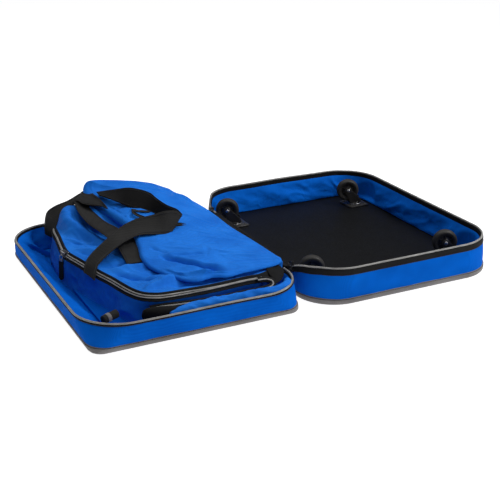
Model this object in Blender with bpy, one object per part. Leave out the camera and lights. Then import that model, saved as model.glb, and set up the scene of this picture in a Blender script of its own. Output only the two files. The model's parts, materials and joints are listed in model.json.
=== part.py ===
"""A collapsible wheeled travel bag, opened flat.

Two zip-edged fabric trays lie side by side and are joined by a fabric hinge. The wheel tray holds a
base board with four swivel casters that point up, and the bag tray holds the folded soft bag.
Metres, +Z up. The origin is on the floor under the hinge, +X runs from the bag tray to the wheel
tray, and +Y runs along the hinge.
"""

import math

import bmesh
import bpy
from mathutils import Matrix, Vector

GAP = 0.0003                 # clearance between pieces that touch

# Trays
TRAY_LENGTH = 0.400          # along X
TRAY_WIDTH = 0.512           # along Y
HINGE_GAP = 0.010            # between the two trays
WHEEL_TRAY_DEPTH = 0.070
HINGE_HEIGHT = 0.061
BAG_TRAY_DEPTH = 2 * HINGE_HEIGHT - WHEEL_TRAY_DEPTH - GAP
RIM_CORNER_RADIUS = 0.086
CORNER_STEPS = 7
HINGE_HALF_LENGTH = 0.158

# Layers of a tray, measured inwards from its outline
BINDING = 0.0010             # thickness of the piping and of the rim tape
WALL_OUTSIDE = BINDING + GAP
WALL_INSIDE = 0.0043
TAPE_INSIDE = WALL_INSIDE + GAP + BINDING
LINING_TOP_INSET = TAPE_INSIDE + GAP
LINING_THICKNESS = 0.0012
FLOOR_THICKNESS = 0.0040
PIPING_HEIGHT = 0.0120
INNER_TAPE_HEIGHT = 0.0150
COIL_HEIGHT = 0.0022
COIL_WIDTH = 0.0036

# Base board and casters
BOARD_THICKNESS = 0.0070
BOARD_TOP = FLOOR_THICKNESS + GAP + BOARD_THICKNESS
BOARD_INSET = 0.0140
CASTER_X = {"inner": 0.058, "outer": 0.352}
CASTER_Y = {"front": -0.177, "rear": 0.177}
PLATE_SIDE = 0.048
PLATE_THICKNESS = 0.0026
PLATE_BOTTOM = BOARD_TOP + GAP
RIVET_REACH = PLATE_SIDE / 2 - 0.0070
SWIVEL_RADIUS = 0.0145
SWIVEL_TOP = PLATE_BOTTOM + 0.0048
CROWN_THICKNESS = 0.0025
AXLE_HEIGHT = 0.0440
TRAIL = Vector((-0.0140, 0.0060, 0.0))
WHEEL_RADIUS = 0.0240
WHEEL_WIDTH = 0.0170
HUB_RADIUS = 0.0165
HUB_WIDTH = 0.0150
BORE_RADIUS = 0.0031
AXLE_RADIUS = 0.0028
FORK_THICKNESS = 0.0022
FORK_INSIDE = WHEEL_WIDTH / 2 + 0.0012
ROUND_SIDES = 24

# Folded bag
BAG_MIN = Vector((-0.346, -0.226))
BAG_MAX = Vector((-0.036, 0.199))
BAG_RADIUS = 0.079
STIFFENER_TOP = FLOOR_THICKNESS + GAP + 0.0020
BAG_BASE_TOP = STIFFENER_TOP + GAP + 0.0070
BAG_BODY_TOP = 0.0500
TRACK_MARGIN = 0.006         # the zip track stands this far outside the bag's side
TRACK_TAPE_TOP = 0.0640
TRACK_COIL_TOP = TRACK_TAPE_TOP + GAP + 0.0040
FLAP_BOTTOM = TRACK_COIL_TOP + GAP
FLAP_MIN = Vector((-0.262, -0.205))
FLAP_MAX = Vector((-0.018, 0.240))
FLAP_LOW = 0.080
FLAP_RISE = 0.046
FLAP_CELLS = 8
WEBBING_WIDTH = 0.038
WEBBING_THICKNESS = 0.0022

# Zip sliders
SLIDER_LENGTH = 0.0120
SLIDER_THICKNESS = 0.0036
SLIDER_HALF_HEIGHT = 0.0045
PULL_EYE = 0.0020            # radius of a pull's round top, about its pivot
PULL_HALF_WIDTH = 0.0042
CASE_PULL_LENGTH = 0.024
BAG_PULL_LENGTH = 0.047
BAG_SLIDER_Y = 0.042


def clear_scene():
    for obj in list(bpy.data.objects):
        bpy.data.objects.remove(obj, do_unlink=True)


def material(name, colour, roughness, metallic=0.0):
    made = bpy.data.materials.new(name)
    made.use_nodes = True
    shader = made.node_tree.nodes["Principled BSDF"]
    shader.inputs["Base Color"].default_value = (*colour, 1.0)
    shader.inputs["Roughness"].default_value = roughness
    shader.inputs["Metallic"].default_value = metallic
    return made


def make_materials():
    return {
        "shell": material("blue_polyester", (0.010, 0.105, 0.560), 0.75),
        "lining": material("blue_lining", (0.012, 0.130, 0.640), 0.60),
        "webbing": material("black_webbing", (0.022, 0.021, 0.022), 0.80),
        "tape": material("black_tape", (0.012, 0.012, 0.013), 0.75),
        "piping": material("grey_piping", (0.230, 0.215, 0.210), 0.65),
        "coil": material("grey_coil", (0.300, 0.300, 0.310), 0.40),
        "board": material("black_board", (0.006, 0.006, 0.007), 0.30),
        "caster": material("black_caster", (0.010, 0.010, 0.011), 0.35),
        "tyre": material("black_tyre", (0.014, 0.014, 0.015), 0.50),
        "steel": material("plated_steel", (0.620, 0.620, 0.640), 0.25, 1.0),
    }


# ---------------------------------------------------------------- mesh tools

def add_object(name, mesh, surface, origin=(0.0, 0.0, 0.0)):
    """Makes the object with its origin at a world point, and its faces pointing out."""
    place = Vector(origin)
    bmesh.ops.remove_doubles(mesh, verts=mesh.verts, dist=1e-6)
    bmesh.ops.recalc_face_normals(mesh, faces=mesh.faces)
    bmesh.ops.translate(mesh, vec=-place, verts=mesh.verts)
    if mesh.calc_volume(signed=True) < 0:
        bmesh.ops.reverse_faces(mesh, faces=mesh.faces)
    data = bpy.data.meshes.new(name)
    mesh.to_mesh(data)
    mesh.free()
    data.shade_smooth()
    data.set_sharp_from_angle(angle=math.radians(35))
    data.materials.append(surface)
    obj = bpy.data.objects.new(name, data)
    obj.location = place
    bpy.context.scene.collection.objects.link(obj)
    return obj


def rounded_outline(low, high, radius, z, half_opening=None):
    """Points round a rounded rectangle. With half_opening, the -X side is left open that far each way."""
    centres = [
        (Vector((low.x + radius, high.y - radius)), 180),
        (Vector((high.x - radius, high.y - radius)), 90),
        (Vector((high.x - radius, low.y + radius)), 0),
        (Vector((low.x + radius, low.y + radius)), -90),
    ]
    points = []
    for centre, start in centres:
        for step in range(CORNER_STEPS + 1):
            angle = math.radians(start - 90 * step / CORNER_STEPS)
            points.append((centre.x + radius * math.cos(angle), centre.y + radius * math.sin(angle), z))
    if half_opening is not None:
        points.insert(0, (low.x, half_opening, z))
        points.append((low.x, -half_opening, z))
    return points


def skin(mesh, loops, close_loops=True, close_path=False):
    """Joins equal loops of points with quads. Ends that stay open are capped."""
    rows = [[mesh.verts.new(point) for point in loop] for loop in loops]
    count = len(rows[0])
    pairs = list(zip(rows, rows[1:]))
    if close_path:
        pairs.append((rows[-1], rows[0]))
    for first, second in pairs:
        for i in range(count if close_loops else count - 1):
            j = (i + 1) % count
            mesh.faces.new((first[i], first[j], second[j], second[i]))
    if not close_path:
        mesh.faces.new(rows[0])
        mesh.faces.new(rows[-1])
    return rows


def ring_body(name, outlines, surface, open_path=False):
    """A ring whose cross-section has one corner on each outline. An open ring gets flat ends."""
    mesh = bmesh.new()
    if open_path:
        sections = [list(section) for section in zip(*outlines)]
        skin(mesh, sections)
    else:
        skin(mesh, outlines, close_path=True)
    return add_object(name, mesh, surface)


def slab(name, outlines, surface):
    """A solid stack of outlines with flat ends."""
    mesh = bmesh.new()
    skin(mesh, outlines)
    return add_object(name, mesh, surface)


def turned(name, profile, centre, axis, surface):
    """A ring-shaped piece: the profile's (radius, height) corners turned about an axis."""
    side = axis.orthogonal().normalized()
    other = axis.cross(side)
    mesh = bmesh.new()
    loops = []
    for step in range(ROUND_SIDES):
        angle = 2 * math.pi * step / ROUND_SIDES
        out = side * math.cos(angle) + other * math.sin(angle)
        loops.append([centre + out * radius + axis * height for radius, height in profile])
    skin(mesh, loops, close_path=True)
    return add_object(name, mesh, surface, centre)


def add_cylinder(mesh, radius, low, high, sides=ROUND_SIDES):
    """Adds a capped cylinder between two points."""
    along = high - low
    turn = Vector((0, 0, 1)).rotation_difference(along.normalized()).to_matrix().to_4x4()
    place = Matrix.Translation((low + high) / 2) @ turn
    bmesh.ops.create_cone(
        mesh, cap_ends=True, segments=sides, radius1=radius, radius2=radius,
        depth=along.length, matrix=place,
    )


def cylinder_body(name, radius, low, high, surface, sides=ROUND_SIDES):
    mesh = bmesh.new()
    add_cylinder(mesh, radius, low, high, sides)
    return add_object(name, mesh, surface, (low + high) / 2)


def strap_body(name, route, surface, width=WEBBING_WIDTH, thickness=WEBBING_THICKNESS):
    """A flat strap along a route of (point, across) pairs, lying with its width along across."""
    mesh = bmesh.new()
    points = [Vector(point) for point, _ in route]
    sections = []
    for i, (_, across) in enumerate(route):
        ahead = (points[min(i + 1, len(points) - 1)] - points[max(i - 1, 0)]).normalized()
        side = Vector(across).normalized() * width / 2
        up = side.cross(ahead).normalized() * thickness / 2
        sections.append([points[i] + side + up, points[i] - side + up,
                         points[i] - side - up, points[i] + side - up])
    skin(mesh, sections)
    return add_object(name, mesh, surface)


def combine(target, tool, operation):
    """Adds or cuts another object. A cutter stays in the scene as a hidden wire guide."""
    modifier = target.modifiers.new(operation.lower(), "BOOLEAN")
    modifier.operation = operation
    modifier.object = tool
    tool.hide_render = True
    tool.display_type = "WIRE"


# ---------------------------------------------------------------- trays

class Tray:
    """One tray's outline at any height, and inset from it."""

    def __init__(self, side, depth, floor_radius, splay):
        self.side = side
        self.depth = depth
        self.floor_radius = floor_radius
        self.splay = splay

    def outline(self, inset, z, half_opening=None):
        up = min(max(z / self.depth, 0.0), 1.0)
        inset += self.splay * (1 - up)
        radius = self.floor_radius + (RIM_CORNER_RADIUS - self.floor_radius) * up
        low = Vector((HINGE_GAP / 2 + inset, -TRAY_WIDTH / 2 + inset))
        high = Vector((HINGE_GAP / 2 + TRAY_LENGTH - inset, TRAY_WIDTH / 2 - inset))
        points = rounded_outline(low, high, max(radius - inset, 0.006), z, half_opening)
        return [(self.side * x, y, height) for x, y, height in points]

    def ring(self, name, corners, surface, half_opening=None):
        outlines = [self.outline(inset, z, half_opening) for inset, z in corners]
        return ring_body(name, outlines, surface, open_path=half_opening is not None)



def make_tray(tray, prefix, tape_outside, lining_foot, lining_inset, surfaces):
    """The floor, wall, piping, rim tape, zip coil and lining of one tray."""
    tape_top = tray.depth - COIL_HEIGHT - GAP
    wall_top = tape_top - BINDING - GAP
    foot_levels = [0.0, FLOOR_THICKNESS, lining_foot, PIPING_HEIGHT]
    middle_levels = [0.024]
    inner_tape_foot = tray.depth - INNER_TAPE_HEIGHT
    wall_levels = foot_levels + middle_levels + [inner_tape_foot, wall_top]
    outside = [(WALL_OUTSIDE, z) for z in wall_levels]
    inside = [(WALL_INSIDE, z) for z in reversed(wall_levels)]
    tray.ring(prefix + "_wall", outside + inside, surfaces["shell"])
    slab(
        prefix + "_floor",
        [tray.outline(WALL_INSIDE + GAP, z) for z in (0.0, FLOOR_THICKNESS)],
        surfaces["shell"],
    )
    tray.ring(
        prefix + "_piping",
        [(0.0, z) for z in foot_levels] + [(BINDING, z) for z in reversed(foot_levels)],
        surfaces["piping"],
    )
    tray.ring(
        prefix + "_rim_tape",
        [
            (0.0, tray.depth - tape_outside), (0.0, tape_top),
            (TAPE_INSIDE, tape_top), (TAPE_INSIDE, inner_tape_foot),
            (WALL_INSIDE + GAP, inner_tape_foot), (WALL_INSIDE + GAP, wall_top + GAP),
            (BINDING, wall_top + GAP), (BINDING, tray.depth - tape_outside),
        ],
        surfaces["tape"],
    )
    tray.ring(
        prefix + "_zip_coil",
        [
            (0.0004, tape_top + GAP), (0.0004, tray.depth),
            (0.0004 + COIL_WIDTH, tray.depth), (0.0004 + COIL_WIDTH, tape_top + GAP),
        ],
        surfaces["coil"], half_opening=HINGE_HALF_LENGTH,
    )
    lining_levels = [lining_foot, PIPING_HEIGHT] + middle_levels + [inner_tape_foot]
    slope = (lining_inset - LINING_TOP_INSET) / (inner_tape_foot - lining_foot)
    back = [(LINING_TOP_INSET + slope * (inner_tape_foot - z), z) for z in lining_levels]
    back.append((LINING_TOP_INSET, tape_top))
    face = [(inset + LINING_THICKNESS, z) for inset, z in reversed(back)]
    tray.ring(prefix + "_lining", back + face, surfaces["lining"])


def make_hinge_strip(surfaces):
    """A fabric strip that arches over the gap and is sewn down the outside of both trays."""
    outside = HINGE_GAP / 2 - GAP
    inside = outside - 0.0014
    top = HINGE_HEIGHT + 0.0008
    foot = BAG_TRAY_DEPTH - 0.014
    profile = [
        (-outside, foot), (-outside, top), (outside, top), (outside, foot),
        (inside, foot), (inside, top - 0.0014), (-inside, top - 0.0014), (-inside, foot),
    ]
    mesh = bmesh.new()
    skin(mesh, [[(x, y, z) for x, z in profile] for y in (-HINGE_HALF_LENGTH, HINGE_HALF_LENGTH)])
    return add_object("hinge_strip", mesh, surfaces["tape"])


# ---------------------------------------------------------------- casters

def make_caster(place, swivel, surfaces):
    """Mounting plate with its rivet heads, fork, kingpin, axle, hub and tyre. The swivel point is the plate's centre."""
    boss_top = Vector((swivel.x, swivel.y, SWIVEL_TOP))
    plate_mesh = bmesh.new()
    half = PLATE_SIDE / 2
    low = Vector((swivel.x - half, swivel.y - half))
    high = Vector((swivel.x + half, swivel.y + half))
    skin(plate_mesh, [
        rounded_outline(low, high, 0.005, PLATE_BOTTOM),
        rounded_outline(low, high, 0.005, PLATE_BOTTOM + PLATE_THICKNESS),
    ])
    plate = add_object("caster_plate_" + place, plate_mesh, surfaces["caster"], (*swivel.xy, PLATE_BOTTOM))
    boss = cylinder_body(
        "guide_boss_" + place, SWIVEL_RADIUS,
        Vector((swivel.x, swivel.y, PLATE_BOTTOM + 0.0010)), boss_top, surfaces["caster"],
    )
    combine(plate, boss, "UNION")
    rivet_mesh = bmesh.new()
    for dx in (-RIVET_REACH, RIVET_REACH):
        for dy in (-RIVET_REACH, RIVET_REACH):
            foot = Vector((swivel.x + dx, swivel.y + dy, PLATE_BOTTOM + 0.0010))
            head = Vector((foot.x, foot.y, PLATE_BOTTOM + PLATE_THICKNESS + 0.0012))
            add_cylinder(rivet_mesh, 0.0028, foot, head, 12)
    combine(plate, add_object("guide_rivets_" + place, rivet_mesh, surfaces["caster"]), "UNION")

    axle_centre = Vector((swivel.x, swivel.y, AXLE_HEIGHT)) + TRAIL
    axis = TRAIL.normalized().cross(Vector((0, 0, 1)))
    make_fork(place, swivel, axle_centre, axis, surfaces)
    crown_top = SWIVEL_TOP + GAP + CROWN_THICKNESS + GAP
    cylinder_body(
        "caster_kingpin_" + place, 0.0050, Vector((swivel.x, swivel.y, crown_top)),
        Vector((swivel.x, swivel.y, crown_top + 0.0012)), surfaces["steel"], 20,
    )
    reach = FORK_INSIDE + FORK_THICKNESS + 0.0012
    cylinder_body(
        "caster_axle_" + place, AXLE_RADIUS, axle_centre - axis * reach, axle_centre + axis * reach,
        surfaces["steel"], 20,
    )
    hub = HUB_WIDTH / 2
    turned(
        "wheel_hub_" + place,
        [
            (BORE_RADIUS, -hub), (0.0065, -hub), (0.0075, -hub + 0.0030), (0.0140, -hub + 0.0030),
            (0.0148, -hub), (HUB_RADIUS, -hub), (HUB_RADIUS, hub), (0.0148, hub),
            (0.0140, hub - 0.0030), (0.0075, hub - 0.0030), (0.0065, hub), (BORE_RADIUS, hub),
        ],
        axle_centre, axis, surfaces["caster"],
    )
    tyre = WHEEL_WIDTH / 2
    turned(
        "tyre_" + place,
        [
            (HUB_RADIUS + GAP, -tyre), (WHEEL_RADIUS - 0.0030, -tyre), (WHEEL_RADIUS - 0.0008, -tyre + 0.0022),
            (WHEEL_RADIUS, -tyre + 0.0050), (WHEEL_RADIUS, tyre - 0.0050), (WHEEL_RADIUS - 0.0008, tyre - 0.0022),
            (WHEEL_RADIUS - 0.0030, tyre), (HUB_RADIUS + GAP, tyre),
        ],
        axle_centre, axis, surfaces["tyre"],
    )


def make_fork(place, swivel, axle_centre, axis, surfaces):
    """A crown over the swivel boss, with two legs up to the axle."""
    forward = TRAIL.normalized()
    foot = Vector((swivel.x, swivel.y, SWIVEL_TOP + GAP))
    outer = FORK_INSIDE + FORK_THICKNESS
    crown = cylinder_body(
        "caster_fork_" + place, SWIVEL_RADIUS, foot, foot + Vector((0, 0, CROWN_THICKNESS)), surfaces["caster"],
    )
    for side in (-1, 1):
        corners = []
        for turn in range(9):
            angle = math.radians(-40 + 220 * turn / 8)
            corners.append(axle_centre + (forward * math.cos(angle) + Vector((0, 0, 1)) * math.sin(angle)) * 0.0075)
        corners.append(foot - forward * 0.0125)
        corners.append(foot + forward * 0.0105)
        leg_mesh = bmesh.new()
        inner_face = [corner + axis * side * FORK_INSIDE for corner in corners]
        outer_face = [corner + axis * side * outer for corner in corners]
        skin(leg_mesh, [inner_face, outer_face])
        leg = add_object(f"guide_leg_{place}_{'left' if side < 0 else 'right'}", leg_mesh, surfaces["caster"])
        combine(crown, leg, "UNION")
    drill = cylinder_body(
        "guide_drill_" + place, BORE_RADIUS, axle_centre - axis * 0.02, axle_centre + axis * 0.02,
        surfaces["caster"], 20,
    )
    combine(crown, drill, "DIFFERENCE")


# ---------------------------------------------------------------- folded bag

def bag_outline(margin, z):
    grow = Vector((margin, margin))
    return rounded_outline(BAG_MIN - grow, BAG_MAX + grow, BAG_RADIUS + margin, z)


def flap_top(x, y):
    """Height of the folded flap's upper surface: it climbs to the back and falls to the hinge side."""
    back = min(max((y + 0.05) / 0.28, 0.0), 1.0)
    away = min(max((-x - 0.05) / 0.09, 0.0), 1.0)
    return FLAP_LOW + FLAP_RISE * back * away


def make_bag(surfaces):
    slab("bag_stiffener", [bag_outline(0.006, z) for z in (FLOOR_THICKNESS + GAP, STIFFENER_TOP)],
         surfaces["board"])
    slab("folded_bag_base", [bag_outline(0.004, z) for z in (STIFFENER_TOP + GAP, BAG_BASE_TOP)],
         surfaces["shell"])
    slab("folded_bag_body", [bag_outline(0.0, z) for z in (BAG_BASE_TOP + GAP, BAG_BODY_TOP)],
         surfaces["shell"])
    foot = BAG_BODY_TOP + GAP
    tape = [bag_outline(TRACK_MARGIN, foot), bag_outline(TRACK_MARGIN, TRACK_TAPE_TOP),
            bag_outline(TRACK_MARGIN - 0.002, TRACK_TAPE_TOP), bag_outline(TRACK_MARGIN - 0.002, foot)]
    ring_body("bag_zip_tape", tape, surfaces["tape"])
    coil_foot = TRACK_TAPE_TOP + GAP
    coil = [bag_outline(TRACK_MARGIN, coil_foot), bag_outline(TRACK_MARGIN, TRACK_COIL_TOP),
            bag_outline(TRACK_MARGIN - 0.005, TRACK_COIL_TOP), bag_outline(TRACK_MARGIN - 0.005, coil_foot)]
    ring_body("bag_zip_coil", coil, surfaces["coil"])
    slab("bag_top_panel", [bag_outline(TRACK_MARGIN - 0.002 - GAP, z) for z in (foot, TRACK_TAPE_TOP)],
         surfaces["shell"])
    make_flap(surfaces)
    gusset_low = Vector((-0.0290, -0.200))
    gusset_high = Vector((-0.0120, -0.120))
    slab("bag_corner_gusset", [rounded_outline(gusset_low, gusset_high, 0.006, z) for z in (0.0530, 0.0655)],
         surfaces["tape"])
    pocket_low = Vector((-0.232, -0.2365))
    pocket_high = Vector((-0.150, -0.2265))
    slab("bag_side_pocket", [rounded_outline(pocket_low, pocket_high, 0.0045, z) for z in (0.022, 0.0495)],
         surfaces["tape"])
    roll_centre = Vector((-0.348, -0.2080, 0.0430))
    reach = Vector((0.006, 0.004, 0.0))
    cylinder_body("rolled_tie", 0.0075, roll_centre - reach, roll_centre + reach, surfaces["webbing"], 20)


def make_flap(surfaces):
    """The bag's loose end panel, folded over the zip track: a slab with a rolling top."""
    mesh = bmesh.new()
    size = FLAP_MAX - FLAP_MIN
    tops = []
    bottoms = []
    for i in range(FLAP_CELLS + 1):
        x = FLAP_MIN.x + size.x * i / FLAP_CELLS
        ys = [FLAP_MIN.y + size.y * j / FLAP_CELLS for j in range(FLAP_CELLS + 1)]
        tops.append([mesh.verts.new((x, y, flap_top(x, y))) for y in ys])
        bottoms.append([mesh.verts.new((x, y, FLAP_BOTTOM)) for y in ys])
    for grid in (tops, bottoms):
        for first, second in zip(grid, grid[1:]):
            for j in range(FLAP_CELLS):
                mesh.faces.new((first[j], first[j + 1], second[j + 1], second[j]))
    for i in range(FLAP_CELLS):
        for j in (0, FLAP_CELLS):
            mesh.faces.new((tops[i][j], tops[i + 1][j], bottoms[i + 1][j], bottoms[i][j]))
            mesh.faces.new((tops[j][i], tops[j][i + 1], bottoms[j][i + 1], bottoms[j][i]))
    return add_object("bag_flap", mesh, surfaces["shell"])


def over_flap(x, y, lift):
    return (x, y, flap_top(x, y) + lift)


def make_handles(surfaces):
    """Two webbing carry handles lying over the folded bag, and the wrap that holds them together."""
    outside = BAG_MIN.x - TRACK_MARGIN - 0.0030
    front = [
        ((outside, -0.075, 0.0450), (0, 1, 0)), ((outside, -0.075, 0.0690), (0, 1, 0)),
        ((outside + 0.012, -0.072, 0.0780), (-0.3, 1, 0)), ((-0.290, -0.055, 0.0890), (-0.4, 1, 0)),
        ((-0.235, -0.025, 0.0960), (-0.5, 1, 0)), ((-0.180, 0.010, 0.1080), (-0.5, 1, 0)),
        ((-0.120, 0.040, 0.1120), (-0.5, 1, 0)),
    ]
    strap_body("handle_front", front, surfaces["webbing"])
    rear = [
        ((outside, 0.110, 0.0450), (0, 1, 0)), ((outside, 0.110, 0.0690), (0, 1, 0)),
        ((outside + 0.014, 0.112, 0.0800), (0.3, 1, 0)), ((-0.310, 0.130, 0.1030), (0.5, 1, 0)),
        ((-0.275, 0.150, 0.1240), (0.6, 1, 0)),
    ]
    strap_body("handle_rear", rear, surfaces["webbing"])
    wrap = [
        (over_flap(-0.110, 0.100, 0.010), (1, 0.1, 0)), (over_flap(-0.150, 0.145, 0.007), (1, 0.6, 0)),
        (over_flap(-0.190, 0.180, 0.007), (0.4, 1, 0)), (over_flap(-0.245, 0.190, 0.007), (0, 1, 0)),
    ]
    strap_body("handle_grip_wrap", wrap, surfaces["webbing"], 0.050, 0.0030)
    loop = [
        (over_flap(-0.215, 0.060, 0.005), (1, 0, 0)), (over_flap(-0.215, 0.080, 0.005), (1, 0, 0)),
        (over_flap(-0.215, 0.105, 0.005), (1, 0, 0)),
    ]
    strap_body("hang_loop", loop, surfaces["webbing"], 0.012, 0.0016)


# ---------------------------------------------------------------- zip sliders

def make_slider(name, centre, out, along, surfaces):
    """A slider body beside the coil, rounded at both ends. out points away from the tape."""
    mesh = bmesh.new()
    up = Vector((0, 0, 1))
    shape = []
    for turn in range(16):
        angle = 2 * math.pi * turn / 16
        shape.append(along * math.cos(angle) * SLIDER_LENGTH / 2 + up * math.sin(angle) * SLIDER_HALF_HEIGHT)
    half = out * SLIDER_THICKNESS / 2
    skin(mesh, [[centre + point - half for point in shape], [centre + point + half for point in shape]])
    return add_object(name, mesh, surfaces["steel"], centre)


def make_pull(name, pivot, out, along, length, surfaces):
    """A flat pull that hangs from its pivot: a round eye at the top, widening to a round end."""
    mesh = bmesh.new()
    up = Vector((0, 0, 1))
    shape = []
    for turn in range(7):
        angle = math.pi * turn / 6
        shape.append((along * math.cos(angle) + up * math.sin(angle)) * PULL_EYE)
    low = PULL_HALF_WIDTH - length
    for turn in range(7):
        angle = math.pi * turn / 6
        shape.append(up * low - (along * math.cos(angle) + up * math.sin(angle)) * PULL_HALF_WIDTH)
    half = out * 0.0008
    skin(mesh, [[pivot + point - half for point in shape], [pivot + point + half for point in shape]])
    return add_object(name, mesh, surfaces["webbing"], pivot)


def make_sliders(surfaces):
    """One slider on the bag's own zip, and one parked at each end of the case zip."""
    track_x = BAG_MIN.x - TRACK_MARGIN
    centre = Vector((track_x - GAP - SLIDER_THICKNESS / 2, BAG_SLIDER_Y, TRACK_TAPE_TOP))
    make_slider("bag_zip_slider", centre, Vector((-1, 0, 0)), Vector((0, 1, 0)), surfaces)
    pivot = centre - Vector((0, 0, SLIDER_HALF_HEIGHT + PULL_EYE + 2 * GAP))
    make_pull("bag_zip_pull", pivot, Vector((-1, 0, 0)), Vector((0, 1, 0)), BAG_PULL_LENGTH, surfaces)
    for place, side in (("front", -1), ("rear", 1)):
        y = side * (TRAY_WIDTH / 2 - RIM_CORNER_RADIUS)
        centre = Vector((HINGE_GAP / 2 - GAP - SLIDER_THICKNESS / 2, y, WHEEL_TRAY_DEPTH - 0.0050))
        make_slider("case_zip_slider_" + place, centre, Vector((-1, 0, 0)), Vector((0, 1, 0)), surfaces)
        pivot = centre - Vector((0, 0, SLIDER_HALF_HEIGHT + PULL_EYE + 2 * GAP))
        make_pull("case_zip_pull_" + place, pivot, Vector((-1, 0, 0)), Vector((0, 1, 0)),
                  CASE_PULL_LENGTH, surfaces)


def main():
    clear_scene()
    surfaces = make_materials()
    wheel_tray = Tray(1, WHEEL_TRAY_DEPTH, 0.074, 0.0)
    bag_tray = Tray(-1, BAG_TRAY_DEPTH, 0.032, 0.010)
    make_tray(wheel_tray, "wheel_tray", 0.0150, BOARD_TOP + GAP, 0.018, surfaces)
    make_tray(bag_tray, "bag_tray", 0.0060, FLOOR_THICKNESS + GAP, 0.011, surfaces)
    make_hinge_strip(surfaces)
    slab("base_board",
         [wheel_tray.outline(BOARD_INSET, z) for z in (FLOOR_THICKNESS + GAP, BOARD_TOP)],
         surfaces["board"])
    for row, y in CASTER_Y.items():
        for column, x in CASTER_X.items():
            make_caster(f"{row}_{column}", Vector((x, y, 0.0)), surfaces)
    make_bag(surfaces)
    make_handles(surfaces)
    make_sliders(surfaces)


main()
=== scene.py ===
"""Looks of the collapsible wheeled travel bag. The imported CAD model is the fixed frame."""

import math

import bmesh
import bpy
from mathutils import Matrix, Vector, noise
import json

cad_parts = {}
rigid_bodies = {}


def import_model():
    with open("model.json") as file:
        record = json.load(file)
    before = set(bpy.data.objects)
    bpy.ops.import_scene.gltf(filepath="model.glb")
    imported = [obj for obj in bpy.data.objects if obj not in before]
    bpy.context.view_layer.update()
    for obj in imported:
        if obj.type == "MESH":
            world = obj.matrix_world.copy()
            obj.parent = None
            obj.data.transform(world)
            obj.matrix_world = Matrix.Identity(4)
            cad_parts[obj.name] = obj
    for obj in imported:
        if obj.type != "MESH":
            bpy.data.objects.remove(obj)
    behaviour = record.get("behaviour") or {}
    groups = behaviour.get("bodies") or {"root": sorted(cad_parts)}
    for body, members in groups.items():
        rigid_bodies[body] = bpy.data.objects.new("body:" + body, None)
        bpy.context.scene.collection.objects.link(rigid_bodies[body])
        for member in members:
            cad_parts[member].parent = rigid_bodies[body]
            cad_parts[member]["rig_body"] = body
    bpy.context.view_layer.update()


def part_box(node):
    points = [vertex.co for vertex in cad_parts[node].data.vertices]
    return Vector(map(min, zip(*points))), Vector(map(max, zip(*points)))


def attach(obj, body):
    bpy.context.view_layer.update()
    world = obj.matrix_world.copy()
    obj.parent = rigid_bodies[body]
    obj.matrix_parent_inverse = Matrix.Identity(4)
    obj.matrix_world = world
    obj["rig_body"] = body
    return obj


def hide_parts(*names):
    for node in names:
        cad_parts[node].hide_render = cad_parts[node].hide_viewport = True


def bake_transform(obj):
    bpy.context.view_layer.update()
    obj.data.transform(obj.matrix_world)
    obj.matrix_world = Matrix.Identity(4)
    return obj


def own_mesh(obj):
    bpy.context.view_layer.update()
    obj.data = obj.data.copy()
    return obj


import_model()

# ---------------------------------------------------------------- driving sizes, from the frame

BAG = "bag_tray"
WHEEL = "wheel_tray"
BAG_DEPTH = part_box("bag_tray_zip_coil")[1][2]
WHEEL_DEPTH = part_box("wheel_tray_zip_coil")[1][2]
HALF_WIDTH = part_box("wheel_tray_piping")[1][1]
INNER_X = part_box("wheel_tray_piping")[0][0]
OUTER_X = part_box("wheel_tray_piping")[1][0]
HINGE_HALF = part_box("hinge_strip")[1][1]
BOARD_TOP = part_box("base_board")[1][2]
FLOOR_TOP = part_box("wheel_tray_floor")[1][2]
RIM_RADIUS = 0.086
STEP = 0.005                 # spacing of the points round a tray
WARP = 0.0012                # how far the fabric walls wander from true
CASTER_SWING = 0.0435        # how far a turning wheel reaches from its kingpin
HINGE_SAG = 0.0185           # how far the wheel tray's slack hinge side drops
COIL_HEIGHT = 0.0022         # of the case zip's teeth
INNER_TAPE_HEIGHT = 0.015    # how far the rim tape hangs down inside a tray
UP = Vector((0, 0, 1))
CASTER_PLACES = ("front_inner", "front_outer", "rear_inner", "rear_outer")

NOISE_OFFSET = Vector((3.1, 7.7, 1.9))
noise.seed_set(1)            # else the vector noise changes with the time of day


def corners_of(name):
    """The low and the high corner of a CAD node's box."""
    return [Vector(corner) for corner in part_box(name)]


def middle_of(name):
    low, high = corners_of(name)
    return (low + high) / 2


CASTER_PINS = [middle_of("caster_kingpin_" + place).xy for place in CASTER_PLACES]


def metres(rows):
    """Rows of sizes in millimetres, in metres."""
    return [tuple(size / 1000 for size in row) for row in rows]


# ---------------------------------------------------------------- materials

def new_material(name):
    made = bpy.data.materials.new(name)
    made.use_nodes = True
    tree = made.node_tree
    return made, tree, tree.nodes["Principled BSDF"]


def add_node(tree, kind, inputs=None, **settings):
    node = tree.nodes.new(kind)
    for key, value in settings.items():
        setattr(node, key, value)
    for key, value in (inputs or {}).items():
        node.inputs[key].default_value = value
    return node


def mottled_colour(tree, dark, light, scale, detail=3.0):
    """A colour that drifts between two tones over the cloth."""
    place = add_node(tree, "ShaderNodeTexCoord")
    cloud = add_node(tree, "ShaderNodeTexNoise", {"Scale": scale, "Detail": detail, "Roughness": 0.55})
    ramp = add_node(tree, "ShaderNodeValToRGB")
    for element, position, tone in zip(ramp.color_ramp.elements, (0.32, 0.68), (dark, light)):
        element.position = position
        element.color = (*tone, 1)
    tree.links.new(place.outputs["Object"], cloud.inputs["Vector"])
    tree.links.new(cloud.outputs["Fac"], ramp.inputs["Fac"])
    return place, ramp


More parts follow.
